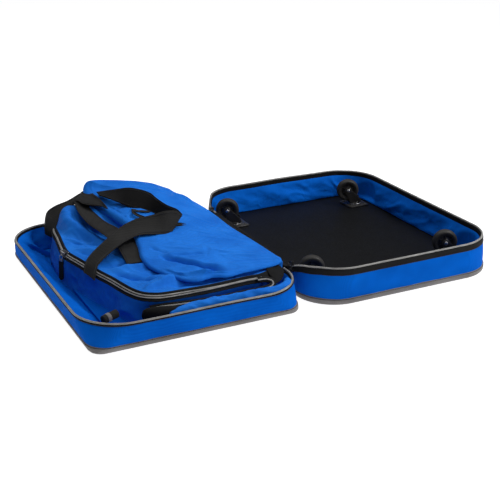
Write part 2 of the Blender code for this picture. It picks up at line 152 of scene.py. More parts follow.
def weave_height(tree, place, threads_per_metre):
    """Three crossed gratings: on any face two of them show, as warp and weft."""
    total = None
    for direction in ("X", "Y", "Z"):
        settings = {"Scale": threads_per_metre / (2 * math.pi), "Distortion": 0.6, "Detail": 1.0,
                    "Detail Scale": 2.0}
        wave = add_node(tree, "ShaderNodeTexWave", settings, wave_type="BANDS", bands_direction=direction)
        tree.links.new(place.outputs["Object"], wave.inputs["Vector"])
        if total is None:
            total = wave.outputs["Fac"]
            continue
        both = add_node(tree, "ShaderNodeMath", operation="ADD")
        tree.links.new(total, both.inputs[0])
        tree.links.new(wave.outputs["Fac"], both.inputs[1])
        total = both.outputs[0]
    return total


def add_bump(tree, shader, height, strength, distance, under=None):
    bump = add_node(tree, "ShaderNodeBump", {"Strength": strength, "Distance": distance})
    tree.links.new(height, bump.inputs["Height"])
    if under is not None:
        tree.links.new(under, bump.inputs["Normal"])
    tree.links.new(bump.outputs["Normal"], shader.inputs["Normal"])
    return bump.outputs["Normal"]


def vary_roughness(tree, shader, cloud, roughness, spread):
    """Gloss that differs from place to place, as a noise does."""
    limits = {"From Min": 0.3, "From Max": 0.7, "To Min": roughness - spread, "To Max": roughness + spread}
    rough = add_node(tree, "ShaderNodeMapRange", limits)
    tree.links.new(cloud.outputs["Fac"], rough.inputs["Value"])
    tree.links.new(rough.outputs["Result"], shader.inputs["Roughness"])


def cloth_material(name, dark, light, roughness, threads, weave, creases, sheen, sheen_tint, specular=0.08):
    """Woven cloth: drifting colour, a weave with painted shade in its valleys and painted light on its
    crests, and fine creases.
    """
    made, tree, shader = new_material(name)
    place, ramp = mottled_colour(tree, dark, light, 14.0)
    height = weave_height(tree, place, threads)
    # Painted shade and light: the weave's height darkens the colour in its valleys and lightens it on its
    # crests.
    weave_painted_shade = add_node(tree, "ShaderNodeMapRange",
                            {"From Min": 0.4, "From Max": 2.6, "To Min": 0.90, "To Max": 1.08})
    tree.links.new(height, weave_painted_shade.inputs["Value"])
    tinted = add_node(tree, "ShaderNodeVectorMath", operation="SCALE")
    tree.links.new(ramp.outputs["Color"], tinted.inputs[0])
    tree.links.new(weave_painted_shade.outputs["Result"], tinted.inputs["Scale"])
    tree.links.new(tinted.outputs["Vector"], shader.inputs["Base Color"])
    crease = add_node(tree, "ShaderNodeTexNoise",
                      {"Scale": 30.0, "Detail": 5.0, "Roughness": 0.62, "Distortion": 1.6})
    crease.noise_type = "RIDGED_MULTIFRACTAL"
    tree.links.new(place.outputs["Object"], crease.inputs["Vector"])
    under = add_bump(tree, shader, crease.outputs["Fac"], creases, 0.0030)
    add_bump(tree, shader, height, weave, 0.0002, under)
    vary_roughness(tree, shader, crease, roughness, 0.06)
    shader.inputs["Sheen Weight"].default_value = sheen
    shader.inputs["Sheen Roughness"].default_value = 0.4
    shader.inputs["Sheen Tint"].default_value = (*sheen_tint, 1)
    shader.inputs["Specular IOR Level"].default_value = specular
    return made


def smooth_material(name, dark, light, roughness, grain_scale, grain, metallic=0.0, specular=0.22):
    """Moulded plastic, rubber or metal: slight colour drift, fine grain and worn gloss."""
    made, tree, shader = new_material(name)
    place, ramp = mottled_colour(tree, dark, light, 60.0)
    tree.links.new(ramp.outputs["Color"], shader.inputs["Base Color"])
    fine = add_node(tree, "ShaderNodeTexNoise", {"Scale": grain_scale, "Detail": 5.0, "Roughness": 0.6})
    tree.links.new(place.outputs["Object"], fine.inputs["Vector"])
    add_bump(tree, shader, fine.outputs["Fac"], grain, 0.0004)
    vary_roughness(tree, shader, fine, roughness, 0.07)
    shader.inputs["Metallic"].default_value = metallic
    shader.inputs["Specular IOR Level"].default_value = specular
    return made


MATERIALS = {
    "shell": cloth_material("royal_blue_polyester", (0.0010, 0.088, 0.460), (0.0016, 0.116, 0.570),
                            0.80, 1700, 0.50, 0.14, 0.0, (0.25, 0.50, 1.0), 0.01),
    "bag": cloth_material("royal_blue_bag_cloth", (0.0060, 0.125, 0.560), (0.0140, 0.185, 0.720),
                          0.62, 1900, 0.45, 0.26, 0.05, (0.45, 0.68, 1.0), 0.04),
    "lining": cloth_material("blue_lining_cloth", (0.0010, 0.090, 0.460), (0.0020, 0.125, 0.600),
                             0.72, 2300, 0.35, 0.30, 0.0, (0.30, 0.55, 1.0), 0.02),
    "webbing": cloth_material("black_webbing", (0.0175, 0.0172, 0.0168), (0.0270, 0.0267, 0.0262),
                              0.85, 900, 0.90, 0.05, 0.03, (0.55, 0.55, 0.58)),
    "tape": cloth_material("black_tape", (0.0070, 0.0070, 0.0074), (0.0115, 0.0115, 0.0120),
                           0.80, 1500, 0.70, 0.08, 0.03, (0.5, 0.5, 0.55)),
    "piping": cloth_material("grey_piping", (0.150, 0.142, 0.142), (0.210, 0.200, 0.198),
                             0.68, 1300, 0.70, 0.05, 0.20, (0.8, 0.8, 0.8)),
    "coil": smooth_material("grey_zip_coil", (0.260, 0.255, 0.245), (0.360, 0.355, 0.345),
                            0.45, 700, 0.10),
    "thread": smooth_material("blue_thread", (0.004, 0.060, 0.300), (0.006, 0.080, 0.380),
                              0.70, 900, 0.30),
    "dark_thread": smooth_material("black_thread", (0.020, 0.020, 0.022), (0.035, 0.035, 0.037),
                                   0.70, 900, 0.30),
    "board": smooth_material("black_board", (0.0018, 0.0020, 0.0028), (0.0032, 0.0036, 0.0048),
                             0.50, 380, 0.10, specular=0.10),
    "caster": smooth_material("black_caster_plastic", (0.0160, 0.0150, 0.0140), (0.0260, 0.0245, 0.0230),
                              0.36, 420, 0.16, specular=0.40),
    "tyre": smooth_material("black_tyre_rubber", (0.0210, 0.0200, 0.0190), (0.0320, 0.0305, 0.0290),
                            0.55, 520, 0.22),
    "steel": smooth_material("plated_steel", (0.300, 0.300, 0.310), (0.420, 0.420, 0.430),
                             0.34, 300, 0.06, 1.0),
}


# ---------------------------------------------------------------- mesh tools

def finish_piece(name, mesh, surface, body, replaces=(), sharp=40):
    """Turns a bmesh into a smooth-shaded piece that rides on a body."""
    bmesh.ops.recalc_face_normals(mesh, faces=mesh.faces)
    data = bpy.data.meshes.new(name)
    mesh.to_mesh(data)
    mesh.free()
    data.shade_smooth()
    data.set_sharp_from_angle(angle=math.radians(sharp))
    data.materials.append(MATERIALS[surface])
    piece = bpy.data.objects.new(name, data)
    bpy.context.scene.collection.objects.link(piece)
    if body:
        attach(piece, body)
    if replaces:
        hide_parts(*replaces)
    return piece


def grid(mesh, rows, round_rows=False, round_columns=False):
    """Joins equal rows of points with quads, and gives back the vertices."""
    made = [[mesh.verts.new(point) for point in row] for row in rows]
    row_pairs = list(zip(made, made[1:]))
    if round_rows:
        row_pairs.append((made[-1], made[0]))
    for first, second in row_pairs:
        count = len(first)
        for i in range(count if round_columns else count - 1):
            j = (i + 1) % count
            mesh.faces.new((first[i], first[j], second[j], second[i]))
    return made


def cap_ends(mesh, made):
    """Closes the first and the last ring of a tube."""
    mesh.faces.new(made[0])
    mesh.faces.new(list(reversed(made[-1])))


def prism(mesh, near, far):
    """A closed body between two matching outlines of points."""
    cap_ends(mesh, grid(mesh, [near, far], round_columns=True))


def turn_angles(count):
    """The angles of even steps round a circle."""
    return [2 * math.pi * step / count for step in range(count)]


def ahead_at(path, k):
    """The way a chain of points runs past its point k."""
    return path[min(k + 1, len(path) - 1)] - path[max(k - 1, 0)]


def zip_shut(mesh, ring):
    """Closes the last ring of a surface with a strip of quads across it."""
    count = len(ring)
    for k in range(count // 2 - 1):
        mesh.faces.new((ring[k], ring[k + 1], ring[count - 2 - k], ring[count - 1 - k]))


def solidify(piece, thickness, offset=-1.0):
    modifier = piece.modifiers.new("thickness", "SOLIDIFY")
    modifier.thickness = thickness
    modifier.offset = offset
    modifier.use_even_offset = False


def subdivide(piece):
    modifier = piece.modifiers.new("smooth", "SUBSURF")
    modifier.levels = 1
    modifier.render_levels = 1


def ease_edges(piece, width, segments, angle=30):
    modifier = piece.modifiers.new("ease", "BEVEL")
    modifier.width = width
    modifier.segments = segments
    modifier.limit_method = "ANGLE"
    modifier.angle_limit = math.radians(angle)


def cloth_band(name, rows, surface, body, replaces, thickness, offset=-1.0):
    """Cloth that runs all the way round, from its rows of points."""
    mesh = bmesh.new()
    grid(mesh, rows, round_columns=True)
    piece = finish_piece(name, mesh, surface, body, replaces)
    solidify(piece, thickness, offset)
    subdivide(piece)


def spline_points(points, spacing, closed=False):
    """Points at even spacing on a Catmull-Rom curve through the given ones, of any dimension."""
    knots = [Vector(p) for p in points]
    if closed:
        padded = [knots[-1]] + knots + knots[:2]
    else:
        padded = [knots[0] * 2 - knots[1]] + knots + [knots[-1] * 2 - knots[-2]]
    dense = []
    for k in range(1, len(padded) - 2):
        a, b, c, d = padded[k - 1:k + 3]
        for step in range(16):
            t = step / 16
            dense.append(0.5 * (2 * b + (c - a) * t + (2 * a - 5 * b + 4 * c - d) * t * t
                                + (3 * b - a - 3 * c + d) * t * t * t))
    dense.append(padded[-2])
    even = resample(dense, spacing)
    return even[:-1] if closed else even


def resample(dense, spacing):
    """Even spacing along a chain of points of any dimension."""
    lengths = [0.0]
    for first, second in zip(dense, dense[1:]):
        lengths.append(lengths[-1] + (second - first).length)
    count = max(2, round(lengths[-1] / spacing))
    result = []
    k = 0
    for step in range(count + 1):
        goal = lengths[-1] * step / count
        while k < len(lengths) - 2 and lengths[k + 1] < goal:
            k += 1
        span = max(lengths[k + 1] - lengths[k], 1e-9)
        result.append(dense[k].lerp(dense[k + 1], (goal - lengths[k]) / span))
    return result


def smooth_step(low, high, value):
    t = min(max((value - low) / (high - low), 0.0), 1.0)
    return t * t * (3 - 2 * t)


def drift(point, scale, size):
    """A smooth, repeatable wander of a point."""
    return noise.noise_vector(Vector(point) * scale + NOISE_OFFSET) * size


def crumple(place, scale):
    """Narrow raised folds such as slack cloth has, from 0 to 1."""
    broad = abs(noise.noise(Vector(place) * scale + NOISE_OFFSET))
    narrow = abs(noise.noise(Vector(place) * scale * 2.3 - NOISE_OFFSET))
    return 0.7 * (1 - min(broad * 4.0, 1.0)) ** 1.5 + 0.3 * (1 - min(narrow * 4.0, 1.0)) ** 1.5


# ---------------------------------------------------------------- trays

class TrayForm:
    """Points on one tray, by place along its outline, inset and height."""

    def __init__(self, side, depth, floor_radius, splay):
        self.side = side
        self.depth = depth
        self.floor_radius = floor_radius
        self.splay = splay
        self.tape_top = depth - COIL_HEIGHT - 0.0002
        self.inner_foot = depth - INNER_TAPE_HEIGHT
        self.stations = self.make_stations()

    def make_stations(self):
        """(corner, angle, along) in order: round each corner, then along the side that follows it.

        The first station is the middle of the hinge side, and the order runs by the rear corner.
        """
        arc_steps = round(RIM_RADIUS * math.pi / 2 / STEP)
        long_steps = round((2 * HALF_WIDTH - 2 * RIM_RADIUS) / STEP)
        short_steps = round((OUTER_X - INNER_X - 2 * RIM_RADIUS) / STEP)
        side_steps = [short_steps, long_steps, short_steps, long_steps]
        stations = []
        for corner in range(4):
            for step in range(arc_steps):
                stations.append((corner, step / arc_steps, 0.0))
            for step in range(side_steps[corner]):
                stations.append((corner, 1.0, step / side_steps[corner]))
        middle = long_steps // 2
        return stations[-middle:] + stations[:-middle]

    def place(self, station, inset, z):
        up = min(max(z / self.depth, 0.0), 1.0)
        inset = inset + self.splay * (1 - up)
        radius = max(self.floor_radius + (RIM_RADIUS - self.floor_radius) * up - inset, 0.004)
        low = Vector((INNER_X + inset, -HALF_WIDTH + inset))
        high = Vector((OUTER_X - inset, HALF_WIDTH - inset))
        centres = [
            Vector((low.x + radius, high.y - radius)), Vector((high.x - radius, high.y - radius)),
            Vector((high.x - radius, low.y + radius)), Vector((low.x + radius, low.y + radius)),
        ]
        corner, turn, along = station
        angle = math.radians(180 - 90 * corner - 90 * turn)
        out = Vector((math.cos(angle), math.sin(angle)))
        start = centres[corner] + out * radius
        spot = start.lerp(centres[(corner + 1) % 4] + out * radius, along)
        return spot, out

    def point(self, station, inset, z, puff=0.0):
        """The world point, with the small wander that every layer of the tray shares."""
        spot, out = self.place(station, inset, z)
        spot = spot + out * puff
        point = Vector((self.side * spot.x, spot.y, z))
        sway = drift((point.x, point.y, 0.3 * self.side), 7.0, WARP)
        loose = min(z / 0.012, 1.0)
        point += Vector((sway.x, sway.y, sway.z * min(z / self.depth, 1.0))) * loose
        if self.side > 0:
            # The slack wall beside the hinge has dropped, since nothing holds its rim up there.
            beside = 1.0 - smooth_step(INNER_X + 0.001, INNER_X + 0.026, spot.x)
            beside *= 1.0 - 0.75 * smooth_step(-0.150, -0.205, spot.y)
            point.z -= HINGE_SAG * beside * smooth_step(0.016, self.depth, z)
        return point

    def row(self, inset, z, puff=None):
        return [self.point(s, inset, z, puff(s, z) if puff else 0.0) for s in self.stations]

    def open_stations(self):
        """The stations that the zip runs along: all but the hinge."""
        def on_hinge(station):
            corner, turn, _ = station
            spot, _ = self.place(station, 0.0, self.depth)
            return corner == 3 and turn == 1.0 and abs(spot.y) < HINGE_HALF

        return [s for s in self.stations if not on_hinge(s)]


wheel_form = TrayForm(1, WHEEL_DEPTH, 0.074, 0.0)
bag_form = TrayForm(-1, BAG_DEPTH, 0.032, 0.010)


def ring_piece(form, name, section, surface, body, replaces):
    """A band round a tray: section is its closed outline, as (inset, height) corners."""
    mesh = bmesh.new()
    grid(mesh, [form.row(inset, z) for inset, z in section], round_rows=True, round_columns=True)
    finish_piece(name, mesh, surface, body, replaces)


def bead_row(name, path, ups, pitch, size, surface, body, replaces=()):
    """Small rounded blocks at an even pitch along a path: zip teeth or stitches.

    size is (along the path, across it, height). ups gives the outward direction at each path point.
    """
    along_half, across_half, height = size[0] / 2, size[1] / 2, size[2]
    profile = [(-1.0, 0.0), (-0.95, 0.62), (-0.50, 1.0), (0.50, 1.0), (0.95, 0.62), (1.0, 0.0)]
    joined = [Vector((*p, *u)) for p, u in zip(path, ups)]
    mesh = bmesh.new()
    spots = resample(joined, pitch)
    for k, spot in enumerate(spots):
        centre = Vector(spot[0:3])
        up = Vector(spot[3:6]).normalized()
        ahead = Vector(ahead_at(spots, k)[0:3])
        ahead = (ahead - up * ahead.dot(up)).normalized()
        side = up.cross(ahead)
        prism(mesh, *([centre + ahead * end + side * across_half * w + up * height * h for w, h in profile]
                      for end in (-along_half, along_half)))
    finish_piece(name, mesh, surface, body, replaces)


def outward(form, station):
    _, out = form.place(station, 0.0, form.depth)
    return Vector((form.side * out.x, out.y, 0.0))


def stitches_round(form, name, inset, z, surface, body):
    """A row of stitches on the outside of a tray."""
    loop = form.stations + form.stations[:1]
    path = [form.point(s, inset, z) for s in loop]
    ups = [outward(form, s) for s in loop]
    bead_row(name, path, ups, 0.0040, (0.0028, 0.0007, 0.0005), surface, body)


def make_tray(form, prefix, body, tape_outside, lining):
    """The fabric wall, piping, rim tape, zip and lining of one tray."""
    tape_top = form.tape_top
    tape_foot = form.depth - tape_outside
    inner_foot = form.inner_foot

    def wall_puff(station, z):
        up = z / form.depth
        spot, _ = form.place(station, 0.0, z)
        ripple = noise.noise(Vector((spot.x * 26, spot.y * 26, z * 34)) + NOISE_OFFSET * form.side)
        return 0.0012 * math.sin(math.pi * min(max(up, 0), 1)) + 0.0007 * ripple

    levels = [0.0020 + (tape_top - 0.0040) * step / 12 for step in range(13)]
    mesh = bmesh.new()
    grid(mesh, [form.row(0.0013, z, wall_puff) for z in levels], round_columns=True)
    wall = finish_piece(prefix + "_shell", mesh, "shell", body, [prefix + "_wall"])
    solidify(wall, 0.0022)

    ring_piece(form, prefix + "_binding", [
        (0.0030, 0.0124), (0.0006, 0.0121), (-0.0006, 0.0102), (-0.0009, 0.0065), (-0.0004, 0.0030),
        (0.0016, 0.0009), (0.0060, 0.0002), (0.0062, 0.0012), (0.0032, 0.0036),
    ], "piping", body, [prefix + "_piping"])
    stitches_round(form, prefix + "_binding_stitches", -0.0004, 0.0106, "dark_thread", body)

    ring_piece(form, prefix + "_tape", [
        (0.0016, tape_foot), (0.0003, tape_foot + 0.0003), (-0.0003, (tape_foot + tape_top) / 2),
        (0.0000, tape_top - 0.0010), (0.0010, tape_top), (0.0046, tape_top),
        (0.0056, tape_top - 0.0010), (0.0058, (inner_foot + tape_top) / 2), (0.0056, inner_foot),
        (0.0040, inner_foot),
    ], "tape", body, [prefix + "_rim_tape"])
    stitches_round(form, prefix + "_tape_stitches", 0.0001, tape_foot + 0.0012, "dark_thread", body)

    zip_stations = form.open_stations()
    path = [form.point(s, 0.0022, tape_top - 0.0001) for s in zip_stations]
    bead_row(prefix + "_zip_teeth", path, [UP] * len(path), 0.0017, (0.0012, 0.0037, COIL_HEIGHT),
             "coil", body, [prefix + "_zip_coil"])
    cloth_band(prefix + "_loose_lining", lining(form), "lining", body, [prefix + "_lining"], 0.0006, 1.0)


def lining_rows(form, levels, foot, top, power, inset):
    """Rows of lining up the inside of a tray. inset(t, z, spot, out) is asked t of the way up."""
    rows = []
    for level in range(levels + 1):
        t = level / levels
        z = foot + (top - foot) * t ** power
        rows.append([form.point(s, inset(t, z, *form.place(s, 0.0, z)), z) for s in form.stations])
    return rows


def wheel_lining(form):
    """Loose lining from the base board up to the tape, with diagonal pulls in it."""
    hidden = 0.0062                       # inset that keeps the lining behind the tape

    def inset(t, z, spot, _):
        pulls = noise.noise(Vector((spot.x * 17 + z * 30, spot.y * 17 + z * 22, z * 14)))
        fine = noise.noise(Vector((spot.x * 52 - z * 60, spot.y * 52 + z * 50, z * 40)))
        sharp = crumple((spot.x + z * 1.5, spot.y + z * 1.2, z * 0.6), 16.0)
        loose = 0.0026 + 0.0050 * pulls + 0.0014 * fine + 0.0050 * sharp
        slack = math.sin(math.pi * t) ** 0.7
        beside_hinge = smooth_step(INNER_X + 0.020, INNER_X + 0.004, spot.x) if spot.x < 0.1 else 0.0
        flare = 0.0125 * (1 - t) ** 0.9 * (1 - 0.8 * beside_hinge)
        reach = 0.0064 + flare + slack * loose * (1 - beside_hinge)
        if z > BOARD_TOP + 0.005:
            room = min((spot - pin).length for pin in CASTER_PINS) - CASTER_SWING
            reach = min(reach, max(room, hidden))
        hem = 0.0016 * noise.noise(Vector((spot.x * 30, spot.y * 30, 5.0))) * (1 - t)
        return max(reach + hem, hidden)

    return lining_rows(form, 14, BOARD_TOP + 0.0006, form.inner_foot + 0.004, 1, inset)


def bag_lining(form):
    """Lining that sags inwards from the rim of the bag tray and lies on its floor."""
    def inset(t, _, spot, out):
        pulls = noise.noise(Vector((spot.x * 13 + t * 1.2, spot.y * 13 - t, t * 0.6 + 4)))
        fine = noise.noise(Vector((spot.x * 40 - t * 2, spot.y * 40 + t * 2, t * 2)))
        sharp = crumple((spot.x + t * 0.02, spot.y - t * 0.03, t * 0.04), 14.0)
        loose = 0.0016 + 0.0065 * pulls + 0.0016 * fine + 0.0050 * sharp
        slack = math.sin(math.pi * min(t * 1.02, 1)) ** 0.7
        corner = smooth_step(0.3, 0.5, abs(out.x * out.y)) * smooth_step(0.0, 0.3, out.x)
        sag = 0.010 + 0.034 * smooth_step(0.1, 0.9, out.x) + 0.034 * corner
        return max(0.0062 + sag * (1 - t) ** 1.1 + slack * loose, 0.0061)

    return lining_rows(form, 16, FLOOR_TOP + 0.0012, form.tape_top - 0.004, 1.25, inset)


def dress_cad(surface, *names):
    """Gives kept CAD nodes their finished material."""
    for name in names:
        slots = bpy.data.objects[name].data.materials
        slots.clear()
        slots.append(MATERIALS[surface])


make_tray(wheel_form, "wheel_tray", WHEEL, 0.0150, wheel_lining)
make_tray(bag_form, "bag_tray", BAG, 0.0060, bag_lining)
dress_cad("shell", "wheel_tray_floor", "bag_tray_floor", "folded_bag_base")
dress_cad("board", "base_board", "bag_stiffener")


def make_hinge():
    """The fabric hinge: an arch over the gap, sewn down both trays."""
    profile = spline_points([
        (-0.0049, 0, BAG_DEPTH - 0.016), (-0.0048, 0, BAG_DEPTH - 0.004), (-0.0038, 0, 0.0512),
        (0.0, 0, 0.0500), (0.0038, 0, 0.0500), (0.0048, 0, 0.0470), (0.0049, 0, 0.0380),
    ], 0.0016)
    rows = []
    steps = 90
    for step in range(steps + 1):
        y = -HINGE_HALF + 2 * HINGE_HALF * step / steps
        sway = 0.0007 * noise.noise(Vector((0, y * 30, 2)))
        rows.append([point + Vector((sway, y, sway)) for point in profile])
    mesh = bmesh.new()
    grid(mesh, rows)
    strip = finish_piece("hinge_fabric", mesh, "tape", None, ["hinge_strip"])
    solidify(strip, 0.0008, 0.0)
    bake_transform(strip)


make_hinge()


# ---------------------------------------------------------------- casters

def turned_piece(name, profile, centre, axis, surface, body, replaces=(), segments=72):
    """A closed (radius, height) profile turned about an axis."""
    side = axis.orthogonal().normalized()
    other = axis.cross(side)
    loops = []
    for angle in turn_angles(segments):
        out = side * math.cos(angle) + other * math.sin(angle)
        loops.append([centre + out * radius + axis * height for radius, height in profile])
    mesh = bmesh.new()
    grid(mesh, loops, round_rows=True, round_columns=True)
    finish_piece(name, mesh, surface, body, replaces, sharp=50)


def round_profile(low, high, inner, outer, edge):
    """A rectangle (radius by height) whose outer corners are rounded."""
    corners = [(inner, low)]
    for centre_height, start in ((low + edge, -90), (high - edge, 0)):
        for step in range(5):
            angle = math.radians(start + 90 * step / 4)
            corners.append((outer - edge + edge * math.cos(angle), centre_height + edge * math.sin(angle)))
    corners.append((inner, high))
    return corners


def dome_profile(radius, low, high):
    """A shallow button head on a straight shank, as a (radius, height) outline with a small centre hole."""
    corners = [(0.0001, low), (radius, low)]
    for step in range(7):
        angle = math.radians(90 * step / 6)
        corners.append((max(radius * math.cos(angle), 0.0001), low + (high - low) * math.sin(angle)))
    return corners


QUARTERS = ((1, 1), (-1, 1), (-1, -1), (1, -1))
RACE_RADIUS = 0.0146
FORK_EYE_RADIUS = 0.0078     # the rounded end of a leg, round the axle
FORK_INNER = 0.0098          # a leg's inner and outer face, from the wheel's middle
FORK_OUTER = 0.0119
HUB_HALF = 0.0075
TYRE_HALF = 0.0085
TYRE_RADIUS = 0.0240
WHEEL_SEGMENTS = 96


def rounded_plate(mesh, centre, half, corner, low, high, edge):
    """A rounded square plate whose top edge is eased."""
    rows = []
    reach = half - corner
    levels = [(edge, low), (0.0, low + edge), (0.0, high - edge), (edge * 0.3, high - edge * 0.3),
              (edge, high)]
    for inset, z in levels:
        row = []
        for k, (sx, sy) in enumerate(QUARTERS):
            for step in range(7):
                angle = math.radians(90 * k + 90 * step / 6)
                row.append((centre.x + sx * reach + (corner - inset) * math.cos(angle),
                            centre.y + sy * reach + (corner - inset) * math.sin(angle), z))
        rows.append(row)
    cap_ends(mesh, grid(mesh, rows, round_columns=True))


def mirrored(outline):
    """A (radius, height) outline from its upper half, which starts at the middle and ends at the top."""
    return [(radius, -height) for radius, height in reversed(outline)] + outline


def make_fork_piece(place, swivel, axle, forward, axis, body):
    """The swivelling fork: a domed crown and two eased legs that close in on the axle."""
    crown_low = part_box("caster_fork_" + place)[0][2]
    crown_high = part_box("caster_kingpin_" + place)[0][2]
    foot = Vector((swivel.x, swivel.y, crown_low))
    mesh = bmesh.new()
    loops = []
    profile = round_profile(crown_low, crown_high, 0.0, RACE_RADIUS, 0.0010)[1:-1]
    for angle in turn_angles(48):
        out = forward * math.cos(angle) + axis * math.sin(angle)
        loops.append([Vector((swivel.x, swivel.y, 0)) + out * r + UP * z for r, z in profile])
    made = grid(mesh, loops, round_rows=True)
    mesh.faces.new([loop[0] for loop in made])
    mesh.faces.new([loop[-1] for loop in reversed(made)])
    outline = []
    for step in range(15):
        angle = math.radians(-38 + 206 * step / 14)
        outline.append(axle + (forward * math.cos(angle) + UP * math.sin(angle)) * FORK_EYE_RADIUS)
    for reach, height in ((-0.0120, 0.0100), (-0.0128, 0.0040), (-0.0105, 0.0004), (0.0092, 0.0004),
                          (0.0118, 0.0040)):
        outline.append(foot + forward * reach + UP * height)
    for sign in (-1, 1):
        prism(mesh, *([p + axis * sign * reach for p in outline] for reach in (FORK_INNER, FORK_OUTER)))
    fork = finish_piece("fork_" + place, mesh, "caster", body, ["caster_fork_" + place], sharp=30)
    ease_edges(fork, 0.0006, 3, 40)


def make_mounting_plate(place, low, high):
    """The plate under the base board, its races, and a washer and a rivet at each corner."""
    swivel = (low + high) / 2
    half = (high.x - low.x) / 2
    top = low.z + 0.0026
    mesh = bmesh.new()
    rounded_plate(mesh, swivel, half, 0.0050, low.z, top, 0.0007)
    finish_piece("mounting_plate_" + place, mesh, "caster", WHEEL, ["caster_plate_" + place])
    turned_piece("swivel_race_" + place, round_profile(top - 0.0006, high.z, 0.004, RACE_RADIUS, 0.0009),
                 Vector((swivel.x, swivel.y, 0)), UP, "steel", WHEEL)
    reach = half - 0.0070
    for k, (sx, sy) in enumerate(QUARTERS):
        spot = Vector((swivel.x + sx * reach, swivel.y + sy * reach, 0))
        washer = round_profile(top, top + 0.0005, 0.0012, 0.0042, 0.0002)
        rivet = dome_profile(0.0029, top + 0.0004, top + 0.0018)
        turned_piece(f"plate_washer_{place}_{k}", washer, spot, UP, "caster", WHEEL, segments=32)
        turned_piece(f"plate_rivet_{place}_{k}", rivet, spot, UP, "caster", WHEEL, segments=32)


def make_pin_heads(place, swivel, axle, axis, body):
    """The head of the kingpin, and the axle's head and boss on each leg of the fork."""
    pin_low, pin_high = corners_of("caster_kingpin_" + place)
    turned_piece("kingpin_head_" + place, dome_profile(0.0050, pin_low[2] - 0.0002, pin_high[2]),
                 Vector((swivel.x, swivel.y, 0)), UP, "steel", body, ["caster_kingpin_" + place], 40)
    boss = round_profile(0.0, 0.0012, 0.0020, 0.0066, 0.0005)
    for sign, label in ((-1, "a"), (1, "b")):
        turned_piece(f"axle_head_{place}_{label}", dome_profile(0.0042, 0.0, 0.0021),
                     axle + axis * sign * 0.0117, axis * sign, "steel", body, segments=40)
        turned_piece(f"axle_boss_{place}_{label}", boss,
                     axle + axis * sign * 0.0112, axis * sign, "caster", body, segments=48)
    dress_cad("steel", "caster_axle_" + place)


def make_wheel(place, axle, axis):
    """The dished hub with its ribs, and the tyre with grooved sides."""
    body = "wheel_" + place
    hub = mirrored([
        (0.0165, HUB_HALF), (0.0152, HUB_HALF), (0.0146, HUB_HALF - 0.0004), (0.0141, HUB_HALF - 0.0026),
        (0.0132, HUB_HALF - 0.0034), (0.0078, HUB_HALF - 0.0036), (0.0068, HUB_HALF - 0.0030),
        (0.0064, HUB_HALF + 0.0006), (0.0058, HUB_HALF + 0.0014), (0.0031, HUB_HALF + 0.0014),
    ])
    turned_piece("hub_" + place, hub, axle, axis, "caster", body, ["wheel_hub_" + place], WHEEL_SEGMENTS)

    side = axis.orthogonal().normalized()
    other = axis.cross(side)
    rib = ((0.0062, HUB_HALF - 0.0038), (0.0062, HUB_HALF - 0.0012), (0.0138, HUB_HALF - 0.0016),
           (0.0138, HUB_HALF - 0.0036))
    mesh = bmesh.new()
    for k in range(6):
        angle = math.pi * k / 3 + 0.2
        out = side * math.cos(angle) + other * math.sin(angle)
        across = axis.cross(out) * 0.0008
        for sign in (-1, 1):
            corners = [axle + out * r + axis * sign * h for r, h in rib]
            prism(mesh, [c - across for c in corners], [c + across for c in corners])
    finish_piece("hub_ribs_" + place, mesh, "caster", body)

    tyre = mirrored([
        (TYRE_RADIUS, 0.0016), (TYRE_RADIUS - 0.0003, TYRE_HALF - 0.0046),
        (TYRE_RADIUS - 0.0010, TYRE_HALF - 0.0024), (TYRE_RADIUS - 0.0022, TYRE_HALF - 0.0008),
        (0.0207, TYRE_HALF - 0.0001), (0.0204, TYRE_HALF - 0.0003), (0.0198, TYRE_HALF),
        (0.0180, TYRE_HALF), (0.0172, TYRE_HALF - 0.0004), (0.0166, HUB_HALF),
    ])
    turned_piece("tyre_ring_" + place, tyre, axle, axis, "tyre", body, ["tyre_" + place], WHEEL_SEGMENTS)


def make_caster(place):
    """One caster: plate, races, fork, axle, hub and tyre, in finer shape than the CAD's."""
    low, high = corners_of("caster_plate_" + place)
    swivel = (low + high) / 2
    axle = middle_of("caster_axle_" + place)
    forward = Vector((axle.x - swivel.x, axle.y - swivel.y, 0)).normalized()
    axis = forward.cross(UP)
    body = "caster_" + place
    make_mounting_plate(place, low, high)
    make_fork_piece(place, swivel, axle, forward, axis, body)
    make_pin_heads(place, swivel, axle, axis, body)
    make_wheel(place, axle, axis)


for caster_place in CASTER_PLACES:
    make_caster(caster_place)


# ---------------------------------------------------------------- the folded bag

def place_on(line, x, y):
    """A spot against a line from (x, y) to (x, y): its share along, and how far across it is."""
    x0, y0, x1, y1 = line[:4]
    dx, dy = x1 - x0, y1 - y0
    length = math.hypot(dx, dy)
    along = ((x - x0) * dx + (y - y0) * dy) / length ** 2
    return along, ((x - x0) * dy - (y - y0) * dx) / length


def ridges(x, y, lines):
    """Height of some folds in cloth. Each line is (start x, start y, end x, end y, width, height)."""
    total = 0.0
    for line in lines:
        t, across = place_on(line, x, y)
        width, height = line[4:]
        if -0.2 < t < 1.2:
            fade = math.sin(math.pi * (t + 0.2) / 1.4)
            total += height * fade * math.exp(-(across / width) ** 2)
    return total


def creases(x, y, lines):
    """Height of some sharp creases, from lines like those of the folds."""
    total = 0.0
    for line in lines:
        t, across = place_on(line, x, y)
        width, height = line[4:]
        if -0.1 < t < 1.1:
            across += 0.003 * noise.noise(Vector((x * 30, y * 30, width * 900)))
            fade = min(math.sin(math.pi * (t + 0.1) / 1.2) * 1.6, 1.0)
            total += height * fade * max(1 - abs(across) / width, 0.0) ** 1.4
    return total


def outward_normals(loop):
    """Outward directions of a closed loop that runs anticlockwise from above."""
    result = []
    for k in range(len(loop)):
        ahead = loop[(k + 1) % len(loop)] - loop[k - 1]
        result.append(Vector((ahead.y, -ahead.x, 0)).normalized())
    return result


